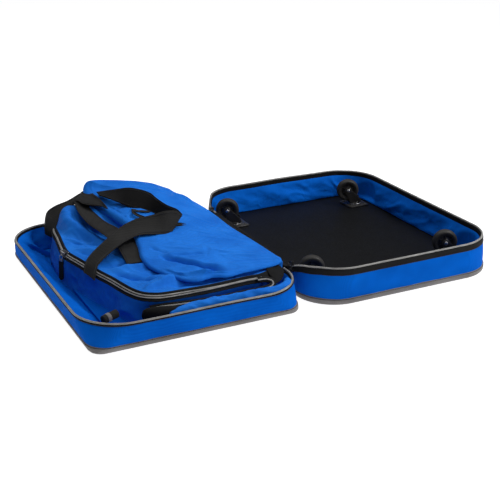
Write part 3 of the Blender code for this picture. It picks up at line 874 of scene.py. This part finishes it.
# The line that the bag's zip takes round the top of the folded bag, anticlockwise from above, in
# millimetres like the tables of folds and edges below.
TRACK_Z = 0.063
TRACK_LEAN = math.radians(48)      # how far the track faces outwards, from straight up
TRACK_CORNERS = metres([
    (-337, 123), (-345, 67), (-346, 35), (-338, -5), (-332, -35), (-324, -70), (-314, -108), (-308, -138),
    (-301, -166), (-291, -188), (-276, -202), (-255, -210), (-214, -212), (-160, -213), (-107, -210),
    (-78, -210), (-48, -198), (-30, -165), (-27, 0), (-30, 140), (-50, 198), (-100, 224), (-180, 230),
    (-260, 228), (-306, 212), (-328, 178),
])
track_loop = [p + drift(p, 12.0, 0.0010) for p in
              spline_points([(x, y, TRACK_Z) for x, y in TRACK_CORNERS], 0.0045, closed=True)]
track_out = outward_normals(track_loop)
track_up = [out * math.sin(TRACK_LEAN) + UP * math.cos(TRACK_LEAN) for out in track_out]
track_in = [UP * math.sin(TRACK_LEAN) - out * math.cos(TRACK_LEAN) for out in track_out]
TAPE_HALF = 0.0080
BAG_SLIDER = Vector((-0.3480, 0.043, 0.0650))


def track_row(across, height):
    return [p + inner * across + up * height for p, inner, up in zip(track_loop, track_in, track_up)]


def make_track():
    """The black zip tape with two rows of teeth and the dark gap between them."""
    section = [(-TAPE_HALF, 0.0), (-0.0050, 0.0005), (-0.0032, 0.0008), (0.0032, 0.0008), (0.0050, 0.0005),
               (TAPE_HALF, 0.0), (TAPE_HALF, -0.0006), (0.0, -0.0004), (-TAPE_HALF, -0.0006)]
    mesh = bmesh.new()
    rows = [track_row(across, height) for across, height in section]
    grid(mesh, rows, round_rows=True, round_columns=True)
    finish_piece("bag_track_tape", mesh, "tape", BAG, ["bag_zip_tape"])
    for side, label in ((-1, "outer"), (1, "inner")):
        narrow, wide = track_row(side * 0.0007, 0.0008), track_row(side * 0.0019, 0.0008)
        path = [a.lerp(b, smooth_step(-0.14, -0.24, p.x) * (p.y < BAG_SLIDER.y))
                for p, a, b in zip(track_loop, narrow, wide)]
        shown = [k for k, p in enumerate(track_loop) if not (p.x > -0.076 and p.y < -0.10)]
        start = next(k for k in shown if k and k - 1 not in shown)
        order = [(start + step) % len(path) for step in range(len(shown))]
        bead_row(f"bag_teeth_{label}", [path[k] for k in order], [track_up[k] for k in order],
                 0.0016, (0.0012, 0.0022, 0.0014), "coil", BAG, ["bag_zip_coil"] if side < 0 else ())
        seam = track_row(side * 0.0066, 0.0003)
        bead_row(f"bag_track_stitches_{label}", seam, track_up, 0.0042, (0.0028, 0.0006, 0.0005),
                 "dark_thread", BAG)


make_track()


def make_bag_walls():
    """The slack sides of the folded bag, from the track down to the tray's floor."""
    foot = FLOOR_TOP + 0.0012
    top_row = track_row(-TAPE_HALF + 0.0010, -0.0003)
    rows = [top_row]
    levels = 16
    for level in range(1, levels + 1):
        t = level / levels
        row = []
        for p, out in zip(top_row, track_out):
            z = p.z + (foot - p.z) * t
            slow = noise.noise(Vector((p.x * 11, p.y * 11, z * 16 + 3)))
            fine = noise.noise(Vector((p.x * 32 + z * 20, p.y * 32, z * 46)))
            belly = math.sin(math.pi * t)
            front = smooth_step(0.5, 0.9, -out.y)
            left = smooth_step(0.2, 0.9, -out.x)
            sharp = crumple((p.x, p.y, z * 1.4), 15.0)
            bulge = (0.0050 * slow + 0.0020 * fine + 0.0040 * sharp) * belly - 0.004 * t * (1 - left)
            bulge += 0.007 * left * t
            recess = -0.0055 * smooth_step(0.0, 0.3, t) * front
            row.append(Vector((p.x, p.y, z)) + out * (bulge + recess))
        rows.append(row)
    cloth_band("bag_side_cloth", rows, "bag", BAG, ["folded_bag_body"], 0.0008)


make_bag_walls()

# Folds in the cloth inside the track, as ridges() lines.
PANEL_FOLDS = metres([
    (-318, 168, -268, 40, 10, 10), (-290, 170, -256, 80, 10, -11), (-327, 70, -275, -20, 8, 3),
    (-305, -50, -225, -62, 8, -8), (-306, -78, -220, -85, 9, 6), (-290, -168, -215, -150, 9, 8),
    (-300, -128, -235, -118, 9, -5),
    # the hollow under the flap's front edge
    (-228, -178, -150, -198, 12, -16), (-150, -198, -60, -202, 9, -7),
])
PANEL_CREASES = metres([
    (-286, 175, -262, 110, 10, -6), (-322, 82, -286, 50, 5, -3), (-330, 110, -300, 60, 6, 2.6),
    (-316, -54, -250, -70, 7, -6), (-287, -182, -220, -157, 9, 8.5), (-308, -90, -244, -146, 12, -9.5),
    (-325, 30, -290, -10, 6, -3),
])


def panel_height(x, y):
    wander = noise.noise(Vector((x * 22, y * 22, 8.0))) * 0.0024
    wander += noise.noise(Vector((x * 60, y * 60, 9.0))) * 0.0007
    rear = 0.030 * smooth_step(0.06, 0.19, y) * smooth_step(-0.336, -0.300, x)
    sharp = 0.0034 * crumple((x + y * 0.35, y * 0.55, 0.3), 17.0)
    return 0.0660 + rear + ridges(x, y, PANEL_FOLDS) + creases(x, y, PANEL_CREASES) + wander + sharp


def make_top_panel():
    """The cloth inside the track, folded down flat, with the folds that show beside the flap."""
    edge = track_row(TAPE_HALF - 0.0010, -0.0003)
    edge = [a.lerp(b, share) for a, b in zip(edge, edge[1:] + edge[:1]) for share in (0.0, 0.5)]
    mesh = bmesh.new()
    rows = [edge]
    rings = 64
    for ring in range(1, rings + 1):
        t = ring / rings
        row = []
        for p in edge:
            centre = Vector((-0.190, min(max(p.y, -0.08), 0.10) * 0.6))
            spot = Vector((p.x, p.y)).lerp(centre, t * 0.97)
            away = (Vector((p.x, p.y)) - spot).length
            ramp = 0.020 - 0.011 * smooth_step(0.14, 0.19, p.y) * smooth_step(-0.26, -0.30, p.x)
            z = p.z + (panel_height(*spot) - p.z) * smooth_step(0.0, ramp, away)
            row.append((spot.x, spot.y, z))
        rows.append(row)
    made = grid(mesh, rows, round_columns=True)
    zip_shut(mesh, made[-1])
    piece = finish_piece("bag_top_cloth", mesh, "bag", BAG, ["bag_top_panel"])
    solidify(piece, 0.0008, 1.0)
    subdivide(piece)


make_top_panel()

# The flap's outline seen from above, anticlockwise, each with its crest height.
FLAP_EDGE = metres([
    (-108, -199, 77.5), (-56, -197, 78.5), (-34, -192, 79), (-23.5, -182, 80.5), (-24.5, -160, 80.5),
    (-27, -80, 80), (-31, 0, 80), (-28, 72, 80), (-30, 126, 82), (-44, 178, 88), (-63.5, 208, 96),
    (-81, 216, 105), (-100, 224, 112), (-126, 226, 120), (-155, 232, 125), (-190, 234, 131),
    (-225, 240, 134), (-246, 236, 132), (-253, 212, 120), (-242, 157, 106), (-228, 106, 100),
    (-220, 58, 94), (-231, -17, 86), (-243, -64, 82), (-243, -100, 76.5), (-230, -133, 73.5),
    (-216, -160, 72.5), (-203, -186, 74.5), (-187, -196, 76.5), (-162, -194, 77.5), (-139, -203, 77.5),
])
FLAP_SPINE = metres([
    (-125, -130, 77), (-130, -20, 85), (-135, 70, 96), (-145, 150, 115),
])
FLAP_FOLDS = metres([
    (-222, -135, -60, -176, 10, 3.4), (-200, -82, -60, -100, 16, 3), (-205, -40, -50, -150, 6, 1.4),
    (-195, -5, -45, -120, 6, -1.3), (-160, 20, -40, -85, 5, 1.3), (-120, 80, -40, -20, 6, -1.2),
    (-215, 120, -120, 80, 12, 3), (-205, 165, -100, 120, 12, -3), (-225, 195, -110, 185, 10, 2.4),
    (-185, -170, -140, -198, 6, 4), (-170, -150, -150, -200, 6, -4),
])
FLAP_CREASES = metres([
    # the deep fold at the lower left, with the roll in front of it
    (-206, -86, -136, -180, 11.5, -16), (-192, -86, -128, -106, 6, -4.8), (-230, -142, -158, -193, 10, 5),
    (-215, -45, -196, -76, 8, -4),
    # the fan of fine ridges that ends at the right front corner
    (-107, 61, -62, -10, 4.5, 1.6), (-126, 4, -86, -34, 4.5, 1.8), (-147, -9, -84, -52, 4.5, 1.8),
    (-185, -55, -64, -134, 5, 2.4), (-160, -60, -70, -104, 5, -1.6), (-100, 20, -50, -60, 5, -1.4),
    (-140, -100, -50, -158, 7, 2.2), (-110, -150, -45, -182, 6, -2), (-120, 100, -70, 30, 6, 1.2),
    # the full rear part
    (-236, 170, -200, 150, 6, -4), (-232, 130, -190, 125, 6, -3.6), (-226, 90, -180, 100, 6, 3),
    (-200, 215, -120, 205, 7, 2.2), (-170, 190, -90, 170, 6, -2),
])


def flap_spine(y):
    for low, high in zip(FLAP_SPINE, FLAP_SPINE[1:]):
        if y <= high[1] or high == FLAP_SPINE[-1]:
            t = min(max((y - low[1]) / (high[1] - low[1]), 0.0), 1.0)
            return Vector(low).lerp(Vector(high), t)


def flap_relief(x, y):
    slow = noise.noise(Vector((x * 15 + y * 6, y * 15, 4.0))) * 0.0022
    fine = noise.noise(Vector((x * 24 + y * 34, y * 16 - x * 20, 6.0))) * 0.0011
    sharp = 0.0022 * crumple((x * 0.7 + y * 0.5, y * 0.8 - x * 0.4, 2.0), 12.0)
    sharp *= smooth_step(-0.06, -0.16, x)
    return ridges(x, y, FLAP_FOLDS) + creases(x, y, FLAP_CREASES) + slow + fine + sharp


def flap_top_row(edge, t):
    """The flap's upper side, t of the way in from its edge to its spine."""
    row = []
    for p, out, radius in edge:
        rim = p - out * radius
        spine = flap_spine(p.y * 0.8)
        spot = rim.lerp(spine, t * 0.965)
        spot.z = rim.z + (spine.z - rim.z) * (1 - (1 - t) ** 1.6)
        taut = 0.05 + 0.13 * smooth_step(0.2, 0.8, out.x)
        spot.z += flap_relief(spot.x, spot.y) * smooth_step(0.0, taut, t)
        row.append(spot)
    return row


def flap_skirt_row(edge, t):
    """The flap's side, t of the way down from its turned edge to its foot."""
    row = []
    for p, out, radius in edge:
        front = smooth_step(0.3, 0.8, -out.y)
        tucked = max(smooth_step(0.3, 0.8, -out.x), front)
        foot = 0.056 + 0.0110 * tucked + 0.0045 * front
        tuck = -(0.008 * tucked + 0.006 * front) * math.sin(math.pi / 2 * t) + 0.002 * (1 - tucked)
        low = p.z - radius
        ripple = 0.0016 * noise.noise(Vector((p.x * 34, p.y * 34, t * 2))) * t
        row.append(Vector((p.x, p.y, low + (foot - low) * t)) + out * (tuck + ripple))
    return row


def make_flap():
    """The bag's slack upper cloth, thrown over the folded body: low at the front and full at the rear."""
    outline = spline_points(FLAP_EDGE, 0.0032, closed=True)
    edge = [(p, out, 0.006 + 0.006 * smooth_step(-0.12, 0.16, p.y))
            for p, out in zip(outline, outward_normals(outline))]
    rings, turn, skirt = 64, 5, 8
    rows = [flap_top_row(edge, 1.0 - ring / rings) for ring in range(rings + 1)]
    for step in range(1, turn + 1):
        angle = math.pi / 2 * step / turn
        rows.append([p - out * radius * (1 - math.sin(angle)) - UP * (radius * (1 - math.cos(angle)))
                     for p, out, radius in edge])
    rows += [flap_skirt_row(edge, step / skirt) for step in range(1, skirt + 1)]
    mesh = bmesh.new()
    made = grid(mesh, rows, round_columns=True)
    zip_shut(mesh, made[0])
    middle = [vertex for row in made[:7] for vertex in row]
    for _ in range(14):
        bmesh.ops.smooth_vert(mesh, verts=middle, factor=0.5,
                              use_axis_x=True, use_axis_y=True, use_axis_z=True)
    piece = finish_piece("bag_flap_cloth", mesh, "bag", BAG, ["bag_flap"])
    solidify(piece, 0.0010)
    subdivide(piece)


make_flap()


STRAP_STEPS = 6              # between a strap's two edges


def strap_face(rows, k):
    """The way that a strap faces at its row k."""
    middle = STRAP_STEPS // 2
    ahead = rows[min(k + 1, len(rows) - 1)][middle] - rows[max(k - 1, 0)][middle]
    return (rows[k][-1] - rows[k][0]).cross(ahead).normalized()


def make_strap(name, stations, surface="webbing", replaces=(), thickness=0.0016):
    """A flat strap with a row of stitches along each edge.

    A station is the lower edge's point and then the upper edge's, in millimetres.
    """
    mesh = bmesh.new()
    rows = []
    for spot in spline_points(metres(stations), 0.006):
        low, high = Vector(spot[0:3]), Vector(spot[3:6])
        rows.append([low.lerp(high, step / STRAP_STEPS) for step in range(STRAP_STEPS + 1)])
    for k, row in enumerate(rows):
        face = strap_face(rows, k)
        for step in range(STRAP_STEPS + 1):
            s = step / STRAP_STEPS * 2 - 1
            row[step] = row[step] + face * 0.0008 * (1 - s * s)
    grid(mesh, rows)
    strap = finish_piece(name, mesh, surface, BAG, replaces)
    solidify(strap, thickness, 0.0)
    ease_edges(strap, thickness * 0.3, 2)
    subdivide(strap)
    for side, share in (("lower", 0.10), ("upper", 0.90)):
        path, ups = [], []
        for k, row in enumerate(rows):
            face = strap_face(rows, k)
            if face.z < 0:
                face = -face
            path.append(row[0].lerp(row[-1], share) + face * thickness * 0.5)
            ups.append(face)
        bead_row(f"{name}_stitches_{side}", path, ups, 0.0044, (0.0030, 0.0007, 0.0005), "dark_thread", BAG)


def make_handles():
    """The two carrying handles, the grip where they meet, and the small loop and tab on the flap."""
    make_strap("front_handle_strap", [
        (-334.5, -84, 58, -340.2, -40, 58.5), (-333, -81, 61, -338, -36, 61.5),
        (-327, -72, 69, -331, -25, 70), (-316, -56, 76, -314, -9, 78), (-288, -37, 85, -280, 8, 93),
        (-254, -13, 90, -246, 29, 103), (-220, 1, 93, -212, 42, 109), (-190, -2, 91, -178, 38, 114),
        (-170, -5, 88.5, -156, 29, 121), (-160, -2, 87.5, -137, 27, 119), (-157, 0, 88, -125, 21, 111),
    ], replaces=["handle_front"])
    # The grip takes the darker tape cloth: partly its own black cloth, partly painted shade for its face
    # that turns away from the light.
    make_strap("handle_grip", [
        (-156, 3, 88, -124, 24, 111), (-140, 22, 89, -128, 40, 117), (-142, 56, 92, -138, 66, 119),
        (-156, 82, 97, -146, 94, 124), (-172, 98, 101, -155, 116, 132), (-194, 114, 107, -182, 142, 137),
        (-209, 132, 113, -204, 168, 129), (-225, 156, 118, -221, 186, 123),
        (-236, 174, 120, -235, 190, 121),
    ], "tape", ["handle_grip_wrap"], 0.0026)
    make_strap("rear_handle_rise", [
        (-330, 160, 46, -339, 205, 46), (-330, 166, 60, -338, 210, 59), (-322, 180, 69, -330, 230, 71.5),
        (-315, 188, 74, -320, 246, 78), (-303, 195, 83, -305, 240, 89), (-289, 199, 93, -281, 229, 100),
        (-276, 200, 101, -256, 229, 111), (-266, 190, 103.5, -243, 224, 114.5),
    ])
    make_strap("rear_handle_strap", [
        (-279, 210, 104, -252, 222, 108), (-281, 190, 105.5, -254, 204, 105),
        (-287, 147, 102, -256, 172, 98), (-285, 99, 95, -252, 131, 93), (-275, 61, 89, -248, 98, 91),
        (-269, 37, 85, -238, 71, 88), (-264, 0, 80, -226, 32, 83), (-266, -38, 74.5, -224, -20, 79),
        (-270, -70, 71.5, -232, -78, 75),
    ], replaces=["handle_rear"])
    make_strap("rear_handle_end", [
        (-279, 202, 106, -252, 231, 113), (-273, 192, 108.5, -246, 224, 115.5),
        (-270, 172, 108.5, -240, 205, 116), (-258, 158, 108, -236, 174, 114),
        (-242, 144, 107.5, -235, 146, 111.5), (-237, 128, 107, -236, 124, 109),
    ])
    make_strap("flap_loop", [
        (-152, 90, 99, -150, 98, 100.5), (-168, 88, 101, -166, 97, 102),
        (-186, 94, 103.5, -184, 103, 104.5), (-196, 96, 104.5, -195, 106, 105.5),
        (-198, 84, 103, -190, 82, 103.5), (-190, 68, 100, -181, 70, 100.5), (-178, 56, 98, -169, 60, 98.5),
    ], replaces=["hang_loop"], thickness=0.0012)
    make_strap("flap_tab", [
        (-140, 18, 92, -136, 34, 93), (-130, 18, 91.2, -127, 30, 92.2), (-120, 19, 90, -119, 25, 90.6),
    ], thickness=0.0012)


make_handles()


def make_return_run():
    """The zip's hairpin, and the run back along the bag's front."""
    up = (Vector((0, -1, 0)) * 0.75 + UP * 0.66).normalized()
    path = spline_points(metres([
        (-88, -217, 63), (-74, -218, 62.2), (-65, -222.5, 59.8), (-64.5, -227.5, 56.5),
        (-70, -231.5, 53.8), (-84, -233, 52.5), (-130, -233, 52), (-165, -233.5, 51.8), (-199, -231, 51.8),
        (-235, -226, 51.5), (-262, -219, 50.5), (-284, -212, 48),
    ]), 0.0030)
    section = ((-0.0055, -0.0004), (-0.0030, 0.0003), (0.0030, 0.0003), (0.0055, -0.0004))
    rows = []
    for k, p in enumerate(path):
        side = up.cross(ahead_at(path, k).normalized()).normalized()
        rows.append([p + side * across + up * height for across, height in section])
    mesh = bmesh.new()
    grid(mesh, rows)
    solidify(finish_piece("return_run_tape", mesh, "tape", BAG), 0.0006)
    bead_row("return_run_teeth", [p + up * 0.0004 for p in path], [up] * len(path),
             0.0016, (0.0012, 0.0026, 0.0014), "coil", BAG)


def flattened_tube(name, stations, sides, width, surface, replaces=(), swell=None):
    """A soft tube through (x, y, z, radius) stations, in millimetres, narrower than it is high."""
    path = spline_points(metres(stations), 0.0040)
    rows = []
    for k, spot in enumerate(path):
        centre, radius = Vector(spot[0:3]), spot[3]
        ahead = ahead_at(path, k)
        side = Vector((ahead[1], -ahead[0], 0)).normalized()
        row = []
        for angle in turn_angles(sides):
            way = side * math.cos(angle) * width + UP * math.sin(angle)
            row.append(centre + way * radius * (swell(centre, angle) if swell else 1.0))
        rows.append(row)
    mesh = bmesh.new()
    cap_ends(mesh, grid(mesh, rows, round_columns=True))
    subdivide(finish_piece(name, mesh, surface, BAG, replaces))


def fold_swell(centre, angle):
    """How full the bulging fold is at an angle round it."""
    swell = 0.94 + 0.16 * noise.noise(Vector((centre.x * 48 + angle * 0.9, angle * 1.1, 3.0)))
    return swell + 0.20 * crumple((centre.x * 1.6, angle * 0.020, 0.0), 26.0)


def make_corner_gusset():
    """The black corner gusset under the flap."""
    steps = 12
    rows = []
    for u in range(steps + 1):
        s = u / steps
        row = []
        for v in range(steps + 1):
            t = v / steps
            x = -0.064 + 0.044 * s + 0.006 * t
            y = -0.198 + 0.040 * s * s - 0.026 * t * (1 - 0.4 * s)
            z = 0.0720 - 0.0190 * t + 0.0030 * math.sin(math.pi * t) * math.sin(math.pi * s)
            row.append(Vector((x, y, z)) + drift((x, y, z), 40.0, 0.0008))
        rows.append(row)
    mesh = bmesh.new()
    grid(mesh, rows)
    gusset = finish_piece("corner_gusset_cloth", mesh, "tape", BAG, ["bag_corner_gusset"])
    solidify(gusset, 0.0012)
    subdivide(gusset)


def make_bag_front():
    """The bag's front side: the zip's return run, a bulging fold, the pocket mouth, whose black is partly
    painted shade, and a gusset.
    """
    make_return_run()
    flattened_tube("front_cloth_fold", [
        (-262, -242, 40, 8), (-238, -240, 43, 12.5), (-200, -238.5, 44, 13.8), (-160, -238.5, 44.5, 13),
        (-120, -239, 44, 13.8), (-85, -239.5, 44, 12.8), (-58, -237, 45, 11.5), (-36, -226, 45, 11),
        (-26, -208, 44, 10),
    ], 28, 0.72, "bag", swell=fold_swell)
    # The pocket mouth is a solid black tube: partly the pocket's black lining, partly painted shade for the
    # dark inside of its opening.
    flattened_tube("side_pocket_mouth", [
        (-297, -212, 40, 7), (-290, -219, 41, 12), (-274, -227, 42, 13.5), (-255, -232, 43, 12),
        (-238, -235, 43, 9), (-226, -236, 43, 6),
    ], 24, 0.8, "tape", ["bag_side_pocket"])
    make_corner_gusset()


make_bag_front()


def make_rolled_tie():
    """A rolled end of webbing with a pale band, tucked in the front corner of the tray."""
    centre = middle_of("rolled_tie") + Vector((-0.002, 0.004, 0.001))
    axis = Vector((0.92, 0.30, 0.10)).normalized()
    turned_piece("rolled_webbing", round_profile(-0.0150, 0.0150, 0.0020, 0.0072, 0.0020),
                 centre, axis, "webbing", BAG, ["rolled_tie"], 40)
    turned_piece("rolled_webbing_band", round_profile(-0.0036, 0.0036, 0.0066, 0.0077, 0.0008),
                 centre - axis * 0.004, axis, "piping", BAG, segments=40)


make_rolled_tie()


# ---------------------------------------------------------------- zip sliders

SLIDER_SHAPE = [(-0.0052, -0.0040), (0.0008, -0.0042), (0.0048, -0.0026), (0.0058, 0.0), (0.0048, 0.0026),
                (0.0008, 0.0042), (-0.0052, 0.0040)]
SLIDER_POST = [(-0.0014, -0.0010), (0.0016, -0.0006), (0.0016, 0.0006), (-0.0014, 0.0010)]
SLIDER_BRIDGE = [(-0.0042, 0.0020), (-0.0040, 0.0038), (-0.0024, 0.0052), (0.0, 0.0056), (0.0024, 0.0052),
                 (0.0040, 0.0038), (0.0042, 0.0020)]


def flat_plate(mesh, centre, along, across, outline, thickness):
    """A flat plate from its outline, given as (along, across) places."""
    normal = along.cross(across).normalized()
    prism(mesh, *([centre + along * a + across * b + normal * h for a, b in outline]
                  for h in (-thickness / 2, thickness / 2)))


def round_bar(mesh, path, side, radius, closed=False):
    """A round bar along a path whose bends all lie across the side direction."""
    rows = []
    for k, p in enumerate(path):
        ahead = path[(k + 1) % len(path)] - path[k - 1] if closed else ahead_at(path, k)
        up = ahead.cross(side).normalized()
        rows.append([p + (side * math.cos(a) + up * math.sin(a)) * radius for a in turn_angles(10)])
    made = grid(mesh, rows, round_rows=closed, round_columns=True)
    if not closed:
        cap_ends(mesh, made)


def make_zip_slider(name, centre, along, normal, surface, size):
    """The two plates of a slider, the post between them, and the bridge that its pull hangs on."""
    across = normal.cross(along).normalized()
    outline = [(a * size, b * size) for a, b in SLIDER_SHAPE]
    mesh = bmesh.new()
    for level in (-0.0013, 0.0019):
        flat_plate(mesh, centre + normal * level * size, along, across, outline, 0.0011 * size)
    flat_plate(mesh, centre + along * 0.0030 * size + normal * 0.0003 * size, along, across,
               SLIDER_POST, 0.0026 * size)
    bridge = [centre + along * a * size + normal * h * size for a, h in SLIDER_BRIDGE]
    round_bar(mesh, spline_points(bridge, 0.0006), across, 0.0008 * size)
    ease_edges(finish_piece(name + "_body", mesh, surface, name, [name]), 0.0003, 3)


def make_zip_pull(name, pivot, face, length, width, surface, ring_surface):
    """A metal ring at the pivot, a small crimp, and a flat fabric pull that hangs from it."""
    down = Vector((0, 0, -1)) + face * 0.10
    down.normalize()
    across = down.cross(face).normalized()
    half = width / 2
    mesh = bmesh.new()
    ring = [pivot + down * (0.0022 + 0.0042 * math.cos(a)) + across * 0.0030 * math.sin(a)
            for a in turn_angles(28)]
    round_bar(mesh, ring, face, 0.0007, closed=True)
    crimp = [(-0.0022, -width * 0.30), (0.0024, -width * 0.36), (0.0024, width * 0.36),
             (-0.0022, width * 0.30)]
    flat_plate(mesh, pivot + down * 0.0082, down, across, crimp, 0.0026)
    ease_edges(finish_piece(name + "_ring", mesh, ring_surface, name), 0.0004, 3)

    outline = [(0.0080, -half * 0.72), (0.0110, -half)]
    for step in range(13):
        angle = math.pi * step / 12
        outline.append((length - half + half * math.sin(angle), -half * math.cos(angle)))
    outline += [(0.0110, half), (0.0080, half * 0.72)]
    mesh = bmesh.new()
    flat_plate(mesh, pivot + face * 0.0002, down, across, outline, 0.0018)
    ease_edges(finish_piece(name + "_tab", mesh, surface, name, [name]), 0.0005, 3)
    seam = [pivot + down * (0.0130 + (length - 0.018) * share) + across * half * 0.66 * side + face * 0.0011
            for side, share in ((-1, 0.0), (-1, 0.5), (-1, 1.0), (1, 1.0), (1, 0.5), (1, 0.0))]
    bead_row(name + "_seam", seam, [face] * len(seam), 0.0040, (0.0026, 0.0006, 0.0005),
             "dark_thread", name)


def pull_pivot(name, lift):
    """Where a zip pull hangs from: near the top of its CAD box."""
    low, high = corners_of(name)
    return Vector(((low.x + high.x) / 2 - 0.0010, (low.y + high.y) / 2, high.z + lift))


def make_zip_sliders():
    """The bag's slider and pull, and the case's two, which hang a little lower than the CAD's."""
    tilt = Vector((-math.sin(TRACK_LEAN), 0, math.cos(TRACK_LEAN))).normalized()
    along = Vector((-0.06, 1, 0)).normalized()
    make_zip_slider("bag_zip_slider", BAG_SLIDER + tilt * 0.0010, along, tilt, "steel", 1.45)
    face = Vector((-0.80, -0.60, 0)).normalized()
    make_zip_pull("bag_zip_pull", pull_pivot("bag_zip_pull", 0.0035), face, 0.046, 0.0100,
                  "webbing", "steel")
    outwards = Vector((-1, 0, 0))
    for place, drop in (("front", 0.0045), ("rear", 0.0090)):
        sunk = Vector((0, 0, -drop))
        make_zip_slider("case_zip_slider_" + place, middle_of("case_zip_slider_" + place) + sunk,
                        Vector((0, 1, 0)), outwards, "caster", 0.95)
        make_zip_pull("case_zip_pull_" + place, pull_pivot("case_zip_pull_" + place, 0.0) + sunk,
                      outwards, 0.023, 0.0070, "tape", "caster")


make_zip_sliders()


# ---------------------------------------------------------------- the soft pieces' own meshes

SOFT_PILE = ("bag_flap_cloth", "bag_top_cloth", "bag_side_cloth", "bag_track_", "bag_teeth_",
             "front_handle_strap", "handle_grip", "rear_handle_", "flap_loop", "flap_tab",
             "corner_gusset_cloth", "return_run_", "front_cloth_fold")


def let_the_pile_flatten():
    """Gives the cloth, the straps and the track on the bag's side each a mesh of their own."""
    for piece in list(bpy.data.objects):
        if piece.type == "MESH" and piece.get("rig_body") == BAG and piece.name.startswith(SOFT_PILE):
            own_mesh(piece)


let_the_pile_flatten()


# ---------------------------------------------------------------- stage

def softbox(name, spot, aim, size, power):
    """A square lamp that faces the aim."""
    lamp = bpy.data.lights.new(name, "AREA")
    lamp.shape = "RECTANGLE"
    lamp.size = lamp.size_y = size
    lamp.energy = power
    holder = bpy.data.objects.new(name, lamp)
    holder.location = spot
    holder.rotation_euler = (Vector(aim) - Vector(spot)).to_track_quat("-Z", "Y").to_euler()
    bpy.context.scene.collection.objects.link(holder)


def make_stage():
    """A pale floor and soft lights."""
    bpy.ops.mesh.primitive_plane_add(size=80.0, location=(0, 0, -0.0006))
    floor = bpy.context.object
    floor.name = "studio_floor"
    paint, tree, shader = new_material("pale_floor")
    _, ramp = mottled_colour(tree, (0.40, 0.40, 0.41), (0.42, 0.42, 0.43), 0.8)
    tree.links.new(ramp.outputs["Color"], shader.inputs["Base Color"])
    white = (1.0, 1.0, 1.0, 1)
    shader.inputs["Roughness"].default_value = 0.75
    shader.inputs["Specular IOR Level"].default_value = 0.2
    shader.inputs["Emission Color"].default_value = white
    shader.inputs["Emission Strength"].default_value = 0.93
    floor.data.materials.append(paint)

    world = bpy.data.worlds.new("studio")
    bpy.context.scene.world = world
    world.use_nodes = True
    sky = world.node_tree.nodes["Background"]
    sky.inputs["Color"].default_value = white
    sky.inputs["Strength"].default_value = 0.10

    softbox("top_softbox", (0.1, 0.9, 2.1), (0.0, 0.0, 0.0), 1.8, 24)
    softbox("key_softbox", (1.25, -0.35, 1.50), (-0.05, 0.0, 0.05), 0.55, 23.5)
    softbox("front_softbox", (1.05, -1.5, 0.70), (0.20, -0.2, 0.04), 0.6, 7)
    softbox("fill_softbox", (-0.7, -0.9, 2.0), (0.15, 0.0, 0.03), 0.9, 6)


def make_camera():
    """A camera in front of the bag, a little to the left and above."""
    azimuth, elevation, distance = math.radians(-26.6), math.radians(21.6), 1.988
    target = Vector((0.010, 0.0096, 0.0204))
    level = math.cos(elevation)
    back = Vector((math.sin(azimuth) * level, -math.cos(azimuth) * level, math.sin(elevation)))
    lens = bpy.data.cameras.new("camera")
    lens.lens = 73.64
    lens.sensor_width = 36.0
    lens.clip_start = 0.05
    camera = bpy.data.objects.new("camera", lens)
    camera.location = target + back * distance
    camera.rotation_euler = (-back).to_track_quat("-Z", "Y").to_euler()
    bpy.context.scene.collection.objects.link(camera)
    bpy.context.scene.camera = camera


make_stage()
make_camera()
bpy.context.scene.view_settings.view_transform = "Standard"
